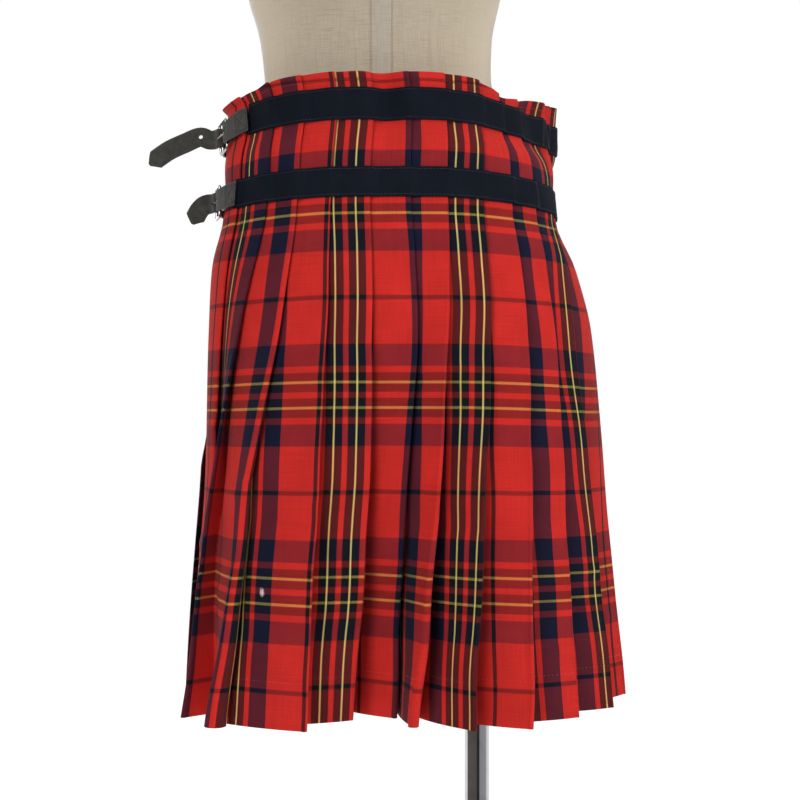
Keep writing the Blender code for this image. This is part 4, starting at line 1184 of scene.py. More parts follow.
def ribbon(name, stations, thickness, finishes, edge=0.0004, lanes=6):
    """A flat strip with rounded edges. The first finish is on its front and edges, the second on
    its back."""
    half = thickness / 2
    front = [(-1, 0.0, half - edge), (-1, edge * 0.3, half - edge * 0.3), (-1, edge, half)]
    front += [(mix(-1, 1, lane / lanes), 0.0, half) for lane in range(1, lanes)]
    front += [(1, -edge, half), (1, -edge * 0.3, half - edge * 0.3), (1, 0.0, half - edge)]
    back = [(-side, -shift, -height) for side, shift, height in front]
    section = back[-1:] + front + back[:-1]
    corners = len(section)
    vertices, uvs = [], []
    for centre, _, across, normal, width, length in ribbon_frames(stations):
        for side, shift, height in section:
            aside = side * width / 2 + shift
            vertices.append(centre + across * aside + normal * height)
            uvs.append((length, aside))
    faces, picks = [], []
    count = len(stations)
    for index in range(count - 1):
        low, high = corners * index, corners * (index + 1)
        for corner in range(corners):
            beside = (corner + 1) % corners
            faces.append((low + beside, low + corner, high + corner, high + beside))
            front = section[corner][2] > 0 or section[beside][2] > 0
            picks.append(0 if front else len(finishes) - 1)
    faces.append(tuple(range(corners)))
    last = corners * (count - 1)
    faces.append(tuple(reversed(range(last, last + corners))))
    picks += [0, 0]
    return build(name, vertices, faces, uvs, finishes, picks)


def wire(name, path, radius, sides, finish, closed=False, taper=0):
    """A round wire along a path of points. It narrows over the last points, taper of them."""
    count = len(path)
    vertices, uvs, reference = [], [], None
    for index, point in enumerate(path):
        before = path[index - 1] if closed or index else path[index]
        after = path[(index + 1) % count] if closed or index < count - 1 else path[index]
        along = (after - before).normalized()
        if reference is None:
            reference = along.orthogonal().normalized()
        reference = (reference - along * reference.dot(along)).normalized()
        other = along.cross(reference)
        left = count - 1 - index
        narrow = math.sqrt((left + 0.15) / taper) if taper and left < taper else 1.0
        for side in range(sides):
            turn = 2 * math.pi * side / sides
            arm = spoke(reference, other, turn)
            vertices.append(point + arm * radius * min(1.0, narrow))
            uvs.append((index * radius, turn * radius))
    faces = []
    for index in range(count if closed else count - 1):
        low, high = index * sides, (index + 1) % count * sides
        for side in range(sides):
            beside = (side + 1) % sides
            faces.append((low + side, low + beside, high + beside, high + side))
    if not closed:
        faces.append(tuple(reversed(range(sides))))
        faces.append(tuple(range((count - 1) * sides, count * sides)))
    return build(name, vertices, faces, uvs, [finish])


def turned_piece(name, profile, centre_x, sides, finish):
    """A closed profile of radius and height, spun round an upright axis."""
    vertices, uvs, rings = [], [], []
    for radius, height in profile:
        if radius == 0:
            rings.append([len(vertices)])
            vertices.append(Vector((centre_x, 0, height)))
            uvs.append((0, height))
            continue
        rings.append(list(range(len(vertices), len(vertices) + sides)))
        for side in range(sides):
            turn = 2 * math.pi * side / sides
            vertices.append(Vector((centre_x + radius * math.cos(turn),
                                    radius * math.sin(turn), height)))
            uvs.append((turn * radius, height))
    pairs = list(zip(rings, rings[1:]))
    if profile[0][0] != 0:
        pairs.append((rings[-1], rings[0]))
    faces = []
    for low, high in pairs:
        for side in range(sides):
            beside = (side + 1) % sides
            if len(low) == 1:
                faces.append((low[0], high[beside], high[side]))
            elif len(high) == 1:
                faces.append((low[side], low[beside], high[0]))
            else:
                faces.append((low[side], low[beside], high[beside], high[side]))
    return build(name, vertices, faces, uvs, [finish])


def rounded(corners, radius, steps=4):
    """A profile with some of its corners rounded. Each corner is radius, height, is it rounded."""
    profile = []
    for index, (across, height, soft) in enumerate(corners):
        here = Vector((across, height))
        if not soft:
            profile.append((across, height))
            continue
        before = Vector(corners[index - 1][:2]) - here
        after = Vector(corners[(index + 1) % len(corners)][:2]) - here
        one, two = here + before.normalized() * radius, here + after.normalized() * radius
        for step in range(steps + 1):
            t = step / steps
            point = one * (1 - t) ** 2 + here * 2 * t * (1 - t) + two * t * t
            profile.append((point.x, point.y))
    return profile


def with_modifiers(target):
    """A new mesh of what an object's modifiers make of it."""
    bpy.context.view_layer.update()
    evaluated = target.evaluated_get(bpy.context.evaluated_depsgraph_get())
    return bpy.data.meshes.new_from_object(evaluated)


def subtract(target, cutter):
    """Cuts a hole and keeps the result as a plain mesh."""
    modifier = target.modifiers.new("Cut", "BOOLEAN")
    modifier.operation = "DIFFERENCE"
    modifier.solver = "EXACT"
    modifier.object = cutter
    mesh = with_modifiers(target)
    target.modifiers.remove(modifier)
    target.data = mesh
    mesh.set_sharp_from_angle(angle=SMOOTH_ANGLE)
    bpy.data.objects.remove(cutter, do_unlink=True)


def block(name, centre, half_one, half_two, half_three):
    vertices = [centre + half_one * a + half_two * b + half_three * c
                for a in (-1, 1) for b in (-1, 1) for c in (-1, 1)]
    faces = [(0, 1, 3, 2), (4, 6, 7, 5), (0, 4, 5, 1), (2, 3, 7, 6), (0, 2, 6, 4), (1, 5, 7, 3)]
    if half_one.cross(half_two).dot(half_three) < 0:
        faces = [face[::-1] for face in faces]
    return build(name, vertices, faces, [(0, 0)] * len(vertices), [])


def round_punch(name, centre, half, radius, sides=32):
    axis = half.normalized()
    one = axis.orthogonal().normalized()
    two = axis.cross(one)
    vertices = []
    for end in (-1, 1):
        for side in range(sides):
            turn = 2 * math.pi * side / sides
            vertices.append(centre + half * end + spoke(one, two, turn) * radius)
    faces = [(s, (s + 1) % sides, sides + (s + 1) % sides, sides + s) for s in range(sides)]
    faces.append(tuple(reversed(range(sides))))
    faces.append(tuple(range(sides, 2 * sides)))
    return build(name, vertices, faces, [(0, 0)] * len(vertices), [])


# The fastenings

def buckle_axes(fastening):
    """The heel bar's middle and the buckle's own directions: along, up and out."""
    z = mix(*fastening.band, 0.5)
    near = place(HEEL_BEARING + 3, 0, z)
    far = place(HEEL_BEARING - 5, 0, z)
    level = (far - near).normalized()
    level = Vector((level.x, level.y, 0))
    out = Vector((-level.y, level.x, 0))
    heel = in_space(place(HEEL_BEARING, 0, z), z) + out * HEEL_OUT
    heel.z -= fastening.heel_drop
    tilt = math.radians(fastening.tilt)
    along = level * math.cos(tilt) - Vector((0, 0, math.sin(tilt)))
    up = level * math.sin(tilt) + Vector((0, 0, math.cos(tilt)))
    return heel, along, up, out


def round_bar(middle, along, out, reach, turns):
    """Points round a bar, at turns in degrees from along towards out."""
    return [middle + spoke(along, out, math.radians(turn)) * reach for turn in turns]


def laid_on(bearing, out, z):
    """A point so far outside the ring, and the direction up the cloth there."""
    ends = [in_space(place(bearing, -out, z + step), z + step) for step in (-0.01, 0.01)]
    return in_space(place(bearing, -out, z), z), (ends[1] - ends[0]).normalized()


def tab_stations(rows, fastening):
    """Rows of the tab, eased from the cloth's lie to the buckle's."""
    z = mix(*fastening.band, 0.5)
    heel, _, up, _ = buckle_axes(fastening)
    stations = []
    first = TAB_OUTER[0].bearing
    for row in rows:
        share = (first - row.bearing) / (first - HEEL_BEARING)
        point, upright = laid_on(row.bearing, row.out, z)
        point.z = mix(point.z, heel.z, ease(share))
        stations.append((point, upright.lerp(up, ease(share)), row.width))
    return stations


def whole_tab(fastening):
    """The tab from its outer end, round the buckle's bar and back beneath itself."""
    heel, along, up, out = buckle_axes(fastening)
    reach = WIRE_RADIUS + SEWN_GAP + TAB_LEATHER / 2
    turned_back = [(point, up, TAB_AT_BAR)
                   for point in round_bar(heel, along, out, reach, (90, 45, 0, -45, -90))]
    return tab_stations(TAB_OUTER, fastening) + turned_back + tab_stations(TAB_INNER, fastening)


def whole_strap(fastening):
    """The strap from beneath the band, round the buckle's far bar and out to its free end, and
    the number of the station where its hole is."""
    heel, along, up, out = buckle_axes(fastening)
    z = mix(*fastening.band, 0.5)
    bar = heel + along * BUCKLE_LENGTH + up * STRAP_SHIFT
    reach = WIRE_RADIUS + SEWN_GAP + STRAP_LEATHER / 2
    stations = []
    for laid in STRAP_LAID:
        share = ease((laid.bearing - BAND_END) / (STRAP_LAID[-1].bearing - BAND_END))
        point, upright = laid_on(laid.bearing, laid.out, z)
        point.z = mix(point.z, bar.z + along.z * (point.xy - bar.xy).length, share)
        stations.append((point, upright.lerp(up, share), STRAP_WIDTH))
    stations += [(point, up, STRAP_WIDTH)
                 for point in round_bar(bar, along, out, reach, (-90, -135, 180, 135, 90))]
    start = bar + out * reach
    for turn in (25, 50, 75):
        t = math.radians(turn)
        lift = Vector((0, 0, fastening.lift * turn / 75))
        rise = along * math.sin(t) + out * (1 - math.cos(t))
        stations.append((start + rise * fastening.curl + lift, up, STRAP_WIDTH))
    free = [Vector(point) for point in fastening.free_end]
    for index, point in enumerate(free[:-1]):
        heading = (free[index + 1] - stations[-1][0]).normalized()
        across = Vector((heading.z, 0, -heading.x)).normalized()
        stations.append((point, up.lerp(across, min(1.0, (index + 1) / 2)), STRAP_WIDTH))
    stations.append((free[-1], across, STRAP_POINT))
    return stations, len(stations) - len(free)


# The form

def form_size(column, z):
    return through([row.z for row in FORM_UP], [getattr(row, column) for row in FORM_UP], z)


def form_point(bearing, z, out=0.0):
    """A point on the form. Near its seat the form follows the inside of the skirt."""
    back = math.cos(math.radians(bearing)) > 0
    near_seat = ease(1 - abs(z - SEAT_Z) / SEAT_BLEND)
    squareness = mix(FORM_SQUARENESS, level_value("squareness", SEAT_Z), near_seat)
    radius = superellipse(bearing, form_size("half_width", z),
                          form_size("half_back" if back else "half_front", z), squareness)
    for side in (-1, 1):
        aside = ((bearing - side * BUST_BEARING + 180) % 360 - 180) / BUST_SPREAD_BEARING
        high = (z - BUST_Z) / BUST_SPREAD_Z
        radius += BUST_OUT * math.exp(-aside * aside - high * high)
    inset = (4 * LAYER + CLOTH / 2 + FORM_SEAT_GAP) * slant(bearing, SEAT_Z)
    seat = smooth_ring(bearing, SEAT_Z) - inset
    radius = mix(radius, seat, near_seat) + out
    turn = math.radians(bearing)
    return Vector((form_size("centre_x", z) + radius * math.sin(turn), -radius * math.cos(turn),
                   z - sag(bearing, SEAT_Z) * near_seat))


def form_heights():
    """Rows through every section of the form, and evenly between them."""
    heights = []
    for one, two in zip(FORM, FORM[1:]):
        steps = max(2, round((two.z - one.z) / FORM_ROW))
        heights += [mix(one.z, two.z, step / steps) for step in range(steps)]
    return heights + [FORM[-1].z]


# Stitches

def stitch_tree(name, thread):
    """Geometry nodes that sew small stitches along the edges of a mesh."""
    tree = bpy.data.node_groups.new(name, "GeometryNodeTree")
    face = tree.interface
    face.new_socket("Geometry", in_out="INPUT", socket_type="NodeSocketGeometry")
    for label in Stitch._fields:
        face.new_socket(label, in_out="INPUT", socket_type="NodeSocketFloat")
    face.new_socket("Geometry", in_out="OUTPUT", socket_type="NodeSocketGeometry")
    given = add(tree, "NodeGroupInput")
    path = add(tree, "GeometryNodeMeshToCurve", {"Mesh": given})
    spaced = add(tree, "GeometryNodeResampleCurve", {"Curve": path, "Length": given.part("pitch")},
                 mode="LENGTH")
    bead = add(tree, "GeometryNodeMeshUVSphere", {"Segments": 6, "Rings": 5, "Radius": 0.5})
    facing = add(tree, "FunctionNodeAlignRotationToVector",
                 {"Vector": add(tree, "GeometryNodeInputTangent")}, axis="Z")
    thickness = given.part("thickness")
    size = add(tree, "ShaderNodeCombineXYZ", {0: thickness, 1: thickness, 2: given.part("length")})
    sewn = add(tree, "GeometryNodeInstanceOnPoints", {"Points": spaced, "Instance": bead,
                                                      "Rotation": facing, "Scale": size})
    real = add(tree, "GeometryNodeRealizeInstances", {"Geometry": sewn})
    smooth = add(tree, "GeometryNodeSetShadeSmooth", {"Geometry": real})
    coloured = add(tree, "GeometryNodeSetMaterial", {"Geometry": smooth, "Material": thread})
    tree.links.new(coloured.socket, tree.nodes.new("NodeGroupOutput").inputs["Geometry"])
    return tree


def sew(name, paths, thread, stitch):
    """Stitches along the given paths, as one plain mesh."""
    mesh = bpy.data.meshes.new(name)
    vertices, edges = [], []
    for path in paths:
        first = len(vertices)
        vertices += [tuple(point) for point in path]
        edges += [(first + step, first + step + 1) for step in range(len(path) - 1)]
    mesh.from_pydata(vertices, edges, [])
    guide = put_in_scene(name + "_guide", mesh, [])
    tree = stitch_tree(name + "_nodes", thread)
    modifier = guide.modifiers.new("Stitches", "NODES")
    modifier.node_group = tree
    for item in tree.interface.items_tree:
        if item.in_out == "INPUT" and item.name in Stitch._fields:
            modifier[item.identifier] = getattr(stitch, item.name)
    result = with_modifiers(guide)
    bpy.data.objects.remove(guide, do_unlink=True)
    if not result.vertices:
        raise RuntimeError(f"{name}: no stitches were made")
    result.materials.clear()
    return dress(put_in_scene(name, result, [thread]), [])


def path_outside(line, z, out):
    """The path so far outside the cloth that has its middle on a plan line."""
    return [in_space(p, z) for p in moved_out(line, CLOTH / 2 + out)]


# Operators

class SKIRT_OT_pleats(bpy.types.Operator):
    """Draw the pleated back as thin cloth"""
    bl_idname = "skirt.pleats"
    bl_label = "Pleated back"

    def execute(self, context):
        settings = context.scene.skirt
        unit = settings.repeat_across / REPEAT_UNITS
        rows = cloth_rows()
        finish = tartan_material(settings)
        piece = wall("pleated_cloth", [pleat_plan(z).line for z in rows], rows,
                     [pleat_across(z, unit) for z in rows], [z - HEM_Z for z in rows],
                     -CLOTH / 2, CLOTH / 2, finish)
        dress(piece, ["pleated_back"])
        return {"FINISHED"}


class SKIRT_OT_aprons(bpy.types.Operator):
    """Draw the outer and the inner apron as thin cloth"""
    bl_idname = "skirt.aprons"
    bl_label = "Aprons"

    def execute(self, context):
        settings = context.scene.skirt
        unit = settings.repeat_across / REPEAT_UNITS
        rows = cloth_rows()
        finish = bpy.data.materials["tartan_wool"]
        for name, node, plan, mark, width in (
                ("outer_apron_cloth", "over_apron", over_apron_plan, FREE_EDGE_REPEAT, 0.48),
                ("inner_apron_cloth", "under_apron", under_apron_plan, FOLDS[0].repeat, 0.40)):
            across = []
            for z in rows:
                lengths = lengths_along(plan(z))
                across.append([mark * unit + length - lengths[-1] for length in lengths])
            piece = wall(name, [plan(z) for z in rows], rows, across, [z - HEM_Z for z in rows],
                         -CLOTH / 2, CLOTH / 2, finish)
            dress(piece, [node])
        return {"FINISHED"}


class SKIRT_OT_bands(bpy.types.Operator):
    """Draw the two woven bands over the pleats"""
    bl_idname = "skirt.bands"
    bl_label = "Bands"

    def execute(self, context):
        finish = webbing_material(context.scene.skirt)
        inner = CLOTH / 2 + SEWN_GAP
        for name, node, (low, high) in (("waist_webbing", "upper_band", UPPER_BAND_Z),
                                        ("hip_webbing", "lower_band", LOWER_BAND_Z)):
            rows = [mix(high, low, step / BAND_ROWS) for step in range(BAND_ROWS + 1)]
            lines = [evenly(outside_line(z, BAND_START, BAND_END), BAND_COLUMNS) for z in rows]
            across = [lengths_along(line) for line in lines]
            piece = wall(name, lines, rows, across, [z - low for z in rows], inner, inner + BAND,
                         finish)
            dress(piece, [node])
        return {"FINISHED"}


class SKIRT_OT_buckles(bpy.types.Operator):
    """Draw the wire buckles and their prongs"""
    bl_idname = "skirt.buckles"
    bl_label = "Buckles"

    def execute(self, context):
        finish = metal_material("plated_wire", (0.62, 0.62, 0.63), 0.14, 0.34, (300, 300, 300))
        for fastening in FASTENINGS:
            heel, along, up, out = buckle_axes(fastening)
            path = []
            turns = ((BUCKLE_LENGTH, 0.5, 0), (BUCKLE_LENGTH, -0.5, -90), (0, -0.5, -180),
                     (0, 0.5, -270))
            for length, half, start in turns:
                inward = -1 if length else 1
                centre = (heel + along * (length + inward * BUCKLE_CORNER)
                          + up * (half * BUCKLE_HEIGHT - math.copysign(BUCKLE_CORNER, half)))
                for step in range(9):
                    turn = math.radians(start + 90 - step * 11.25)
                    path.append(centre + spoke(along, up, turn) * BUCKLE_CORNER)
            closed = []
            for index, point in enumerate(path):
                after = path[(index + 1) % len(path)]
                closed.append(point)
                if (after - point).length > BUCKLE_CORNER * 2:
                    closed += [point.lerp(after, share / 6) for share in range(1, 6)]
            piece = wire(fastening.name + "_wire_buckle", closed, WIRE_RADIUS, WIRE_SIDES,
                         finish, closed=True)
            dress(piece, [fastening.name + "_buckle"])
            reach = WIRE_RADIUS + SEAM_GAP + PRONG_RADIUS
            loop = round_bar(heel, along, out, reach, range(-60, -301, -12))
            tip_out = WIRE_RADIUS + STRAP_LEATHER + 2 * SEWN_GAP + PRONG_RADIUS
            tip = heel + along * (BUCKLE_LENGTH - PRONG_RADIUS) + out * tip_out
            straight = [loop[-1].lerp(tip, share / 12) for share in range(1, 13)]
            piece = wire(fastening.name + "_wire_prong", loop + straight, PRONG_RADIUS,
                         PRONG_SIDES, finish, taper=3)
            dress(piece, [fastening.name + "_prong"])
        return {"FINISHED"}


class SKIRT_OT_tabs(bpy.types.Operator):
    """Draw the leather tabs and their box stitching"""
    bl_idname = "skirt.tabs"
    bl_label = "Tabs"

    def execute(self, context):
        settings = context.scene.skirt
        leather, suede = leather_material(settings), suede_material(settings)
        thread = thread_material("dark_thread", (0.004, 0.004, 0.004), (0.012, 0.012, 0.013))
        for fastening in FASTENINGS:
            heel, along, up, out = buckle_axes(fastening)
            stations = refined(whole_tab(fastening), TAB_STEPS)
            piece = ribbon(fastening.name + "_leather_tab", stations, TAB_LEATHER,
                           [leather, suede])
            subtract(piece, block("slot", heel + along * 0.001, along * CUTTER_HALF,
                                  up * SLOT_WIDTH / 2, out * 0.008))
            dress(piece, [fastening.name + "_tab"])
            frames = ribbon_frames(stations)
            first, last = TAB_STITCHED

            def spot(station, side):
                """A point on the outer side of the tab, from edge -1 to edge 1."""
                centre, _, across, normal, width, _ = frames[station]
                away = math.copysign(TAB_LEATHER / 2 + THREAD_OUT, normal.dot(out))
                return centre + across * side * (width / 2 - TAB_STITCH_INSET) + normal * away

            run = range(first, last + 1)
            box = [spot(s, 1) for s in run] + [spot(last, 1 - 2 * t / 8) for t in range(1, 9)]
            box += [spot(s, -1) for s in reversed(run)][1:]
            box += [spot(first, -1 + 2 * t / 8) for t in range(1, 9)]
            cross = [[spot(s, side * (1 - 2 * (s - first) / (last - first))) for s in run]
                     for side in (1, -1)]
            sew(fastening.name + "_tab_stitches", [box] + cross, thread, TAB_STITCH)
        return {"FINISHED"}


class SKIRT_OT_straps(bpy.types.Operator):
    """Draw the leather straps, turned back through the buckles"""
    bl_idname = "skirt.straps"
    bl_label = "Straps"

    def execute(self, context):
        leather, suede = bpy.data.materials["black_leather"], bpy.data.materials["leather_back"]
        for fastening in FASTENINGS:
            stations, hole_at = whole_strap(fastening)
            piece = ribbon(fastening.name + "_leather_strap", refined(stations, STRAP_STEPS),
                           STRAP_LEATHER, [leather, suede])
            if fastening.hole:
                middle = stations[hole_at][0]
                way = (stations[hole_at + 1][0] - stations[hole_at - 1][0]).normalized()
                facing = way.cross(stations[hole_at][1]).normalized()
                subtract(piece, round_punch("hole", middle, facing * CUTTER_HALF,
                                            HOLE_RADIUS))
            dress(piece, [fastening.name + "_strap"])
        return {"FINISHED"}


class SKIRT_OT_stitches(bpy.types.Operator):
    """Sew the lines along the top edge, the bands and the hem"""
    bl_idname = "skirt.stitches"
    bl_label = "Stitches"

    def execute(self, context):
        settings = context.scene.skirt
        red = thread_material("red_thread", (0.16, 0.010, 0.010), (0.34, 0.03, 0.03))
        z = TOP_Z - settings.edge_stitch
        sew("top_stitches", [path_outside(outside_line(z, *TOP_STITCHED), z, THREAD_OUT)], red,
            TOP_STITCH)
        black = thread_material("black_thread", (0.004, 0.006, 0.010), (0.014, 0.018, 0.025))
        paths = []
        for low, high in (UPPER_BAND_Z, LOWER_BAND_Z):
            for z in (low + BAND_STITCH_INSET, high - BAND_STITCH_INSET):
                paths.append(path_outside(outside_line(z, BAND_START + 1, BAND_END - 1), z,
                                          SEWN_GAP + BAND + THREAD_OUT))
        sew("band_stitches", paths, black, BAND_STITCH)
        pale = thread_material("hem_thread", (0.40, 0.09, 0.10), (0.62, 0.30, 0.30))
        z = HEM_Z + settings.hem_stitch
        paths = [path_outside(panel, z, THREAD_OUT)[1:] for panel in pleat_plan(z).panels]
        paths.append(path_outside(over_apron_plan(z), z, THREAD_OUT)[1:-1])
        sew("hem_stitches", paths, pale, HEM_STITCH)
        return {"FINISHED"}


class SKIRT_OT_form(bpy.types.Operator):
    """Draw the linen covered form, its centre tape and its neck cap"""
    bl_idname = "skirt.form"
    bl_label = "Dress form"

    def execute(self, context):
        settings = context.scene.skirt_stand
        linen = linen_material("linen_cover", settings.linen, settings.slub, 0.65)
        heights = form_heights()
        columns, wide = FORM_COLUMNS, FORM_COLUMNS + 1
        bearings = [360 * column / columns - 180 for column in range(wide)]
        vertices = [form_point(bearing, z) for z in heights for bearing in bearings]
        uvs = [(math.radians(bearing) * FORM_MAP_RADIUS, z) for z in heights
               for bearing in bearings]
        faces = []
        for row in range(len(heights) - 1):
            for column in range(columns):
                low, high = row * wide, (row + 1) * wide
                faces.append((low + column, low + column + 1, high + column + 1, high + column))
        bottom = len(vertices)
        for z, inner in FORM_ENDS:
            ring = [form_point(bearing, z) for bearing in bearings]
            centre = Vector((form_size("centre_x", z), 0, z))
            vertices += [centre + (p - centre) * inner for p in ring] + [centre]
            uvs += [(p.x, p.y) for p in ring] + [(0, 0)]
        top_row = (len(heights) - 1) * wide
        for column in range(columns):
            low, high = bottom + column, bottom + wide + 1 + column
            faces += [(column + 1, column, low, low + 1), (low + 1, low, bottom + wide),
                      (top_row + column, top_row + column + 1, high + 1, high),
                      (high, high + 1, bottom + 2 * wide + 1)]
        piece = build("linen_form", vertices, faces, uvs, [linen])
        weld(piece)
        dress(piece, ["dress_form"])
        self.tape(settings)
        return {"FINISHED"}

    def tape(self, settings):
        finish = linen_material("tape_weave", settings.tape, settings.slub, 0.35)
        steps, lanes = TAPE_ROWS, TAPE_LANES
        vertices, uvs = [], []
        edges = ([], [])
        for step in range(steps + 1):
            z = mix(*TAPE_Z, step / steps)
            for out in (TAPE_OUT, TAPE_OUT + TAPE):
                for lane in range(lanes + 1):
                    x = TAPE_X + TAPE_WIDTH * (lane / lanes - 0.5)
                    vertices.append(self.on_back(x, z, out))
                    uvs.append((x, z))
            for side, path in zip((-1, 1), edges):
                x = TAPE_X + side * (TAPE_WIDTH / 2 - TAPE_STITCH_INSET)
                path.append(self.on_back(x, z, TAPE_OUT + THREAD_OUT + TAPE))
        wide = lanes + 1
        faces = []
        for low in range(0, steps * 2 * wide, 2 * wide):
            high = low + 2 * wide
            for lane in range(lanes):
                a, b = low + lane, high + lane
                faces += [(a + wide, a + wide + 1, b + wide + 1, b + wide), (a + 1, a, b, b + 1)]
            faces += [(low, low + wide, high + wide, high),
                      (low + wide + lanes, low + lanes, high + lanes, high + wide + lanes)]
        for lane in range(lanes):
            end = steps * 2 * wide + lane
            faces += [(lane, lane + 1, lane + wide + 1, lane + wide),
                      (end + wide, end + wide + 1, end + 1, end)]
        dress(build("centre_tape", vertices, faces, uvs, [finish]), [])
        thread = thread_material("tape_thread", (0.30, 0.13, 0.045), (0.46, 0.24, 0.10))
        sew("tape_stitches", edges, thread, TAPE_STITCH)

    @staticmethod
    def on_back(x, z, out):
        """The point on the form's back at a given x."""
        bearing = 0.0
        for _ in range(12):
            point = form_point(bearing, z, out)
            bearing += math.degrees((x - point.x) / max(0.03, -point.y))
        return form_point(bearing, z, out)


def weld(piece):
    """Joins the two edges of the seam up a closed skin."""
    shape = bmesh.new()
    shape.from_mesh(piece.data)
    bmesh.ops.remove_doubles(shape, verts=shape.verts, dist=0.00001)
    shape.to_mesh(piece.data)
    shape.free()
    piece.data.set_sharp_from_angle(angle=SMOOTH_ANGLE)


class SKIRT_OT_stand(bpy.types.Operator):
    """Draw the pole, its socket and hub, and the base plate"""
    bl_idname = "skirt.stand"
    bl_label = "Stand"

    def execute(self, context):
        sides = context.scene.skirt_stand.sides
        chrome = metal_material("chromed_steel", (0.78, 0.79, 0.80), 0.05, 0.16, (60, 60, 900))
        paint = painted_material()
        floor, bore = BASE_HEIGHT + SEAM_GAP, POLE_RADIUS + SEAM_GAP
        hub_top = floor + HUB_HEIGHT
        underside = FORM[0].z - SEAM_GAP
        plate = underside - SOCKET_PLATE
        pole_top, foot = plate - SEAM_GAP, plate - SOCKET_LENGTH
        for name, node, x, finish, slot, radius, corners in (
                ("steel_base", "base_plate", 0.0, paint, "painted steel", 0.003,
                 ((0, 0, False), (BASE_RADIUS, 0, True), (BASE_RADIUS, BASE_HEIGHT, True),
                  (0, BASE_HEIGHT, False))),
                ("chrome_hub", "base_hub", POLE_X, chrome, "chromed steel", 0.0015,
                 ((bore, floor, False), (HUB_RADIUS, floor, True), (HUB_RADIUS, hub_top, True),
                  (bore, hub_top, False))),
                ("chrome_pole", "pole", POLE_X, chrome, "chromed steel", 0.0008,
                 ((0, floor, False), (POLE_RADIUS, floor, True), (POLE_RADIUS, pole_top, True),
                  (0, pole_top, False))),
                ("chrome_socket", "pole_socket", POLE_X, chrome, "chromed steel", 0.001,
                 ((0, plate, False), (bore, plate, False), (bore, foot, False),
                  (SOCKET_RADIUS, foot, True), (SOCKET_RADIUS, plate, False),
                  (SOCKET_PLATE_RADIUS, plate, True), (SOCKET_PLATE_RADIUS, underside, False),
                  (0, underside, False)))):
            dress(turned_piece(name, rounded(corners, radius), x, sides, finish), [node])
        return {"FINISHED"}


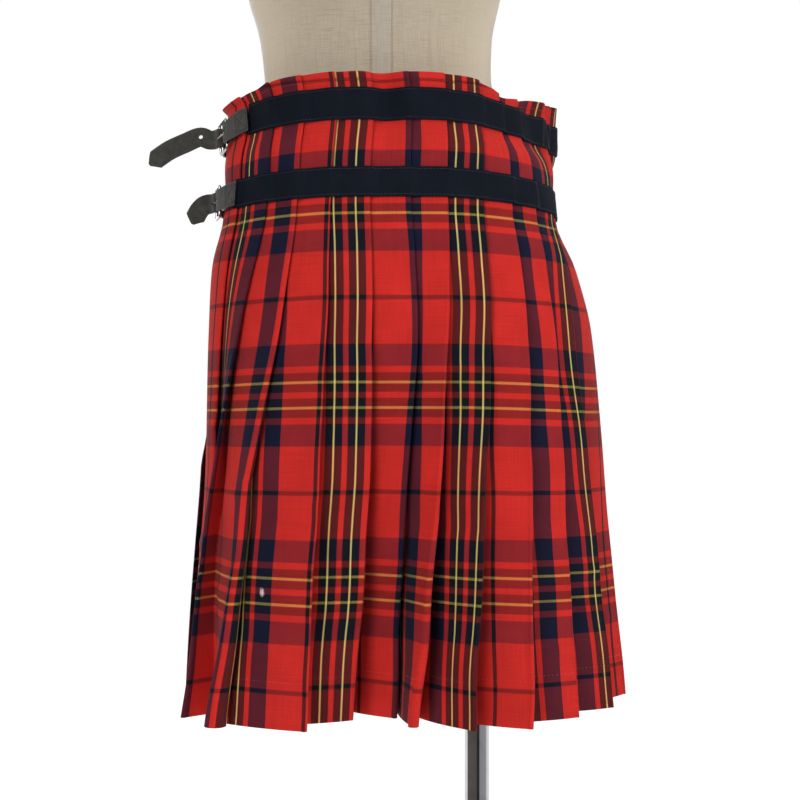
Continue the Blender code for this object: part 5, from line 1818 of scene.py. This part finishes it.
class SKIRT_OT_stage(bpy.types.Operator):
    """Set up the floor, the lights, the backdrop and the camera"""
    bl_idname = "skirt.stage"
    bl_label = "Studio"

    def execute(self, context):
        settings = context.scene.skirt_stage
        self.floor()
        for lamp in LAMPS:
            self.light(lamp, getattr(settings, lamp.setting) * lamp.share)
        self.world(context)
        camera = bpy.data.cameras.new("photo_camera")
        camera.lens = settings.lens
        camera.sensor_width = 36.0
        camera.shift_y = CAMERA_SHIFT
        camera.clip_start = 0.05
        placed = bpy.data.objects.new("photo_camera", camera)
        placed.location = (CAMERA_X, -settings.distance, CAMERA_Z)
        placed.rotation_euler = (math.radians(90), 0, 0)
        context.scene.collection.objects.link(placed)
        context.scene.camera = placed
        context.scene.view_settings.view_transform = "Standard"
        return {"FINISHED"}

    @staticmethod
    def floor():
        """Nearly as white as the backdrop where it is seen, so that no horizon shows, and as
        dark or bright as the room where metal mirrors it."""
        made, tree = new_material("studio_floor", Roughness=0.9, Specular_IOR_Level=0.1)
        where = in_room(tree)
        covered(made, where.noise(3.0).ramp([(0.3, grey(0.90)), (0.7, grey(0.93))]))
        x, y, _ = where.parts()
        rays = add(tree, "ShaderNodeLightPath")
        plain = either(rays.part("Is Glossy Ray"), Value(tree.nodes["Principled BSDF"].outputs[0]),
                       shining(tree, "Emission", mirrored_room(x - POLE_X, y), 1.0))
        seen = either(rays.part("Is Camera Ray") * FLOOR_GLOW_SHARE, plain,
                      shining(tree, "Emission", grey(1), FLOOR_GLOW))
        tree.links.new(seen.socket, tree.nodes["Material Output"].inputs["Surface"])
        half = FLOOR_HALF
        corners = [(-half, -half, 0), (half, -half, 0), (half, half, 0), (-half, half, 0)]
        floor = build("studio_floor", corners, [(0, 1, 2, 3)], [(0, 0), (1, 0), (1, 1), (0, 1)],
                      [made])

    @staticmethod
    def light(lamp, power):
        made = bpy.data.lights.new(lamp.name, "AREA")
        made.shape = "RECTANGLE"
        made.size, made.size_y = lamp.size
        made.energy = power
        placed = bpy.data.objects.new(lamp.name, made)
        placed.location = lamp.position
        aim = LAMPS_AIM - Vector(lamp.position)
        placed.rotation_euler = aim.to_track_quat("-Z", "Y").to_euler()
        bpy.context.scene.collection.objects.link(placed)

    @staticmethod
    def world(context):
        """White where it is seen, a softer grey where it lights, and the room's darker and
        brighter sides where it is mirrored."""
        studio = bpy.data.worlds.new("studio")
        context.scene.world = studio
        studio.use_nodes = True
        tree = studio.node_tree
        lit = tree.nodes["Background"]
        lit.inputs["Color"].default_value = grey(1)
        lit.inputs["Strength"].default_value = WORLD_LIGHT
        x, y, _ = add(tree, "ShaderNodeTexCoord", output="Generated").parts()
        rays = add(tree, "ShaderNodeLightPath")
        dim = either(rays.part("Is Glossy Ray"), Value(lit.outputs[0]),
                     shining(tree, "Background", mirrored_room(x, y), 1.0))
        both = either(rays.part("Is Camera Ray"), dim, shining(tree, "Background", grey(1), 1.0))
        tree.links.new(both.socket, tree.nodes["World Output"].inputs["Surface"])


PIECES = (SKIRT_OT_pleats, SKIRT_OT_aprons, SKIRT_OT_bands, SKIRT_OT_buckles, SKIRT_OT_tabs,
          SKIRT_OT_straps, SKIRT_OT_stitches, SKIRT_OT_form, SKIRT_OT_stand, SKIRT_OT_stage)


class SKIRT_PT_pieces(bpy.types.Panel):
    """Lists the skirt's pieces and their sizes"""
    bl_idname = "SKIRT_PT_pieces"
    bl_label = "Wrap skirt"
    bl_space_type = "VIEW_3D"
    bl_region_type = "UI"
    bl_category = "Skirt"

    def draw(self, context):
        layout = self.layout
        for piece in PIECES:
            layout.operator(piece.bl_idname, text=piece.bl_label)
        for group in (context.scene.skirt, context.scene.skirt_stand, context.scene.skirt_stage):
            box = layout.box()
            for key in group.bl_rna.properties.keys():
                if key not in ("rna_type", "name"):
                    box.prop(group, key)


CLASSES = (SkirtSettings, StandSettings, StageSettings, *PIECES, SKIRT_PT_pieces)


def register():
    for item in CLASSES:
        bpy.utils.register_class(item)
    bpy.types.Scene.skirt = PointerProperty(type=SkirtSettings)
    bpy.types.Scene.skirt_stand = PointerProperty(type=StandSettings)
    bpy.types.Scene.skirt_stage = PointerProperty(type=StageSettings)


def unregister():
    del bpy.types.Scene.skirt_stage
    del bpy.types.Scene.skirt_stand
    del bpy.types.Scene.skirt
    for item in reversed(CLASSES):
        bpy.utils.unregister_class(item)


def main():
    register()
    for piece in PIECES:
        group, name = piece.bl_idname.split(".")
        getattr(getattr(bpy.ops, group), name)()


if __name__ == "__main__":
    main()
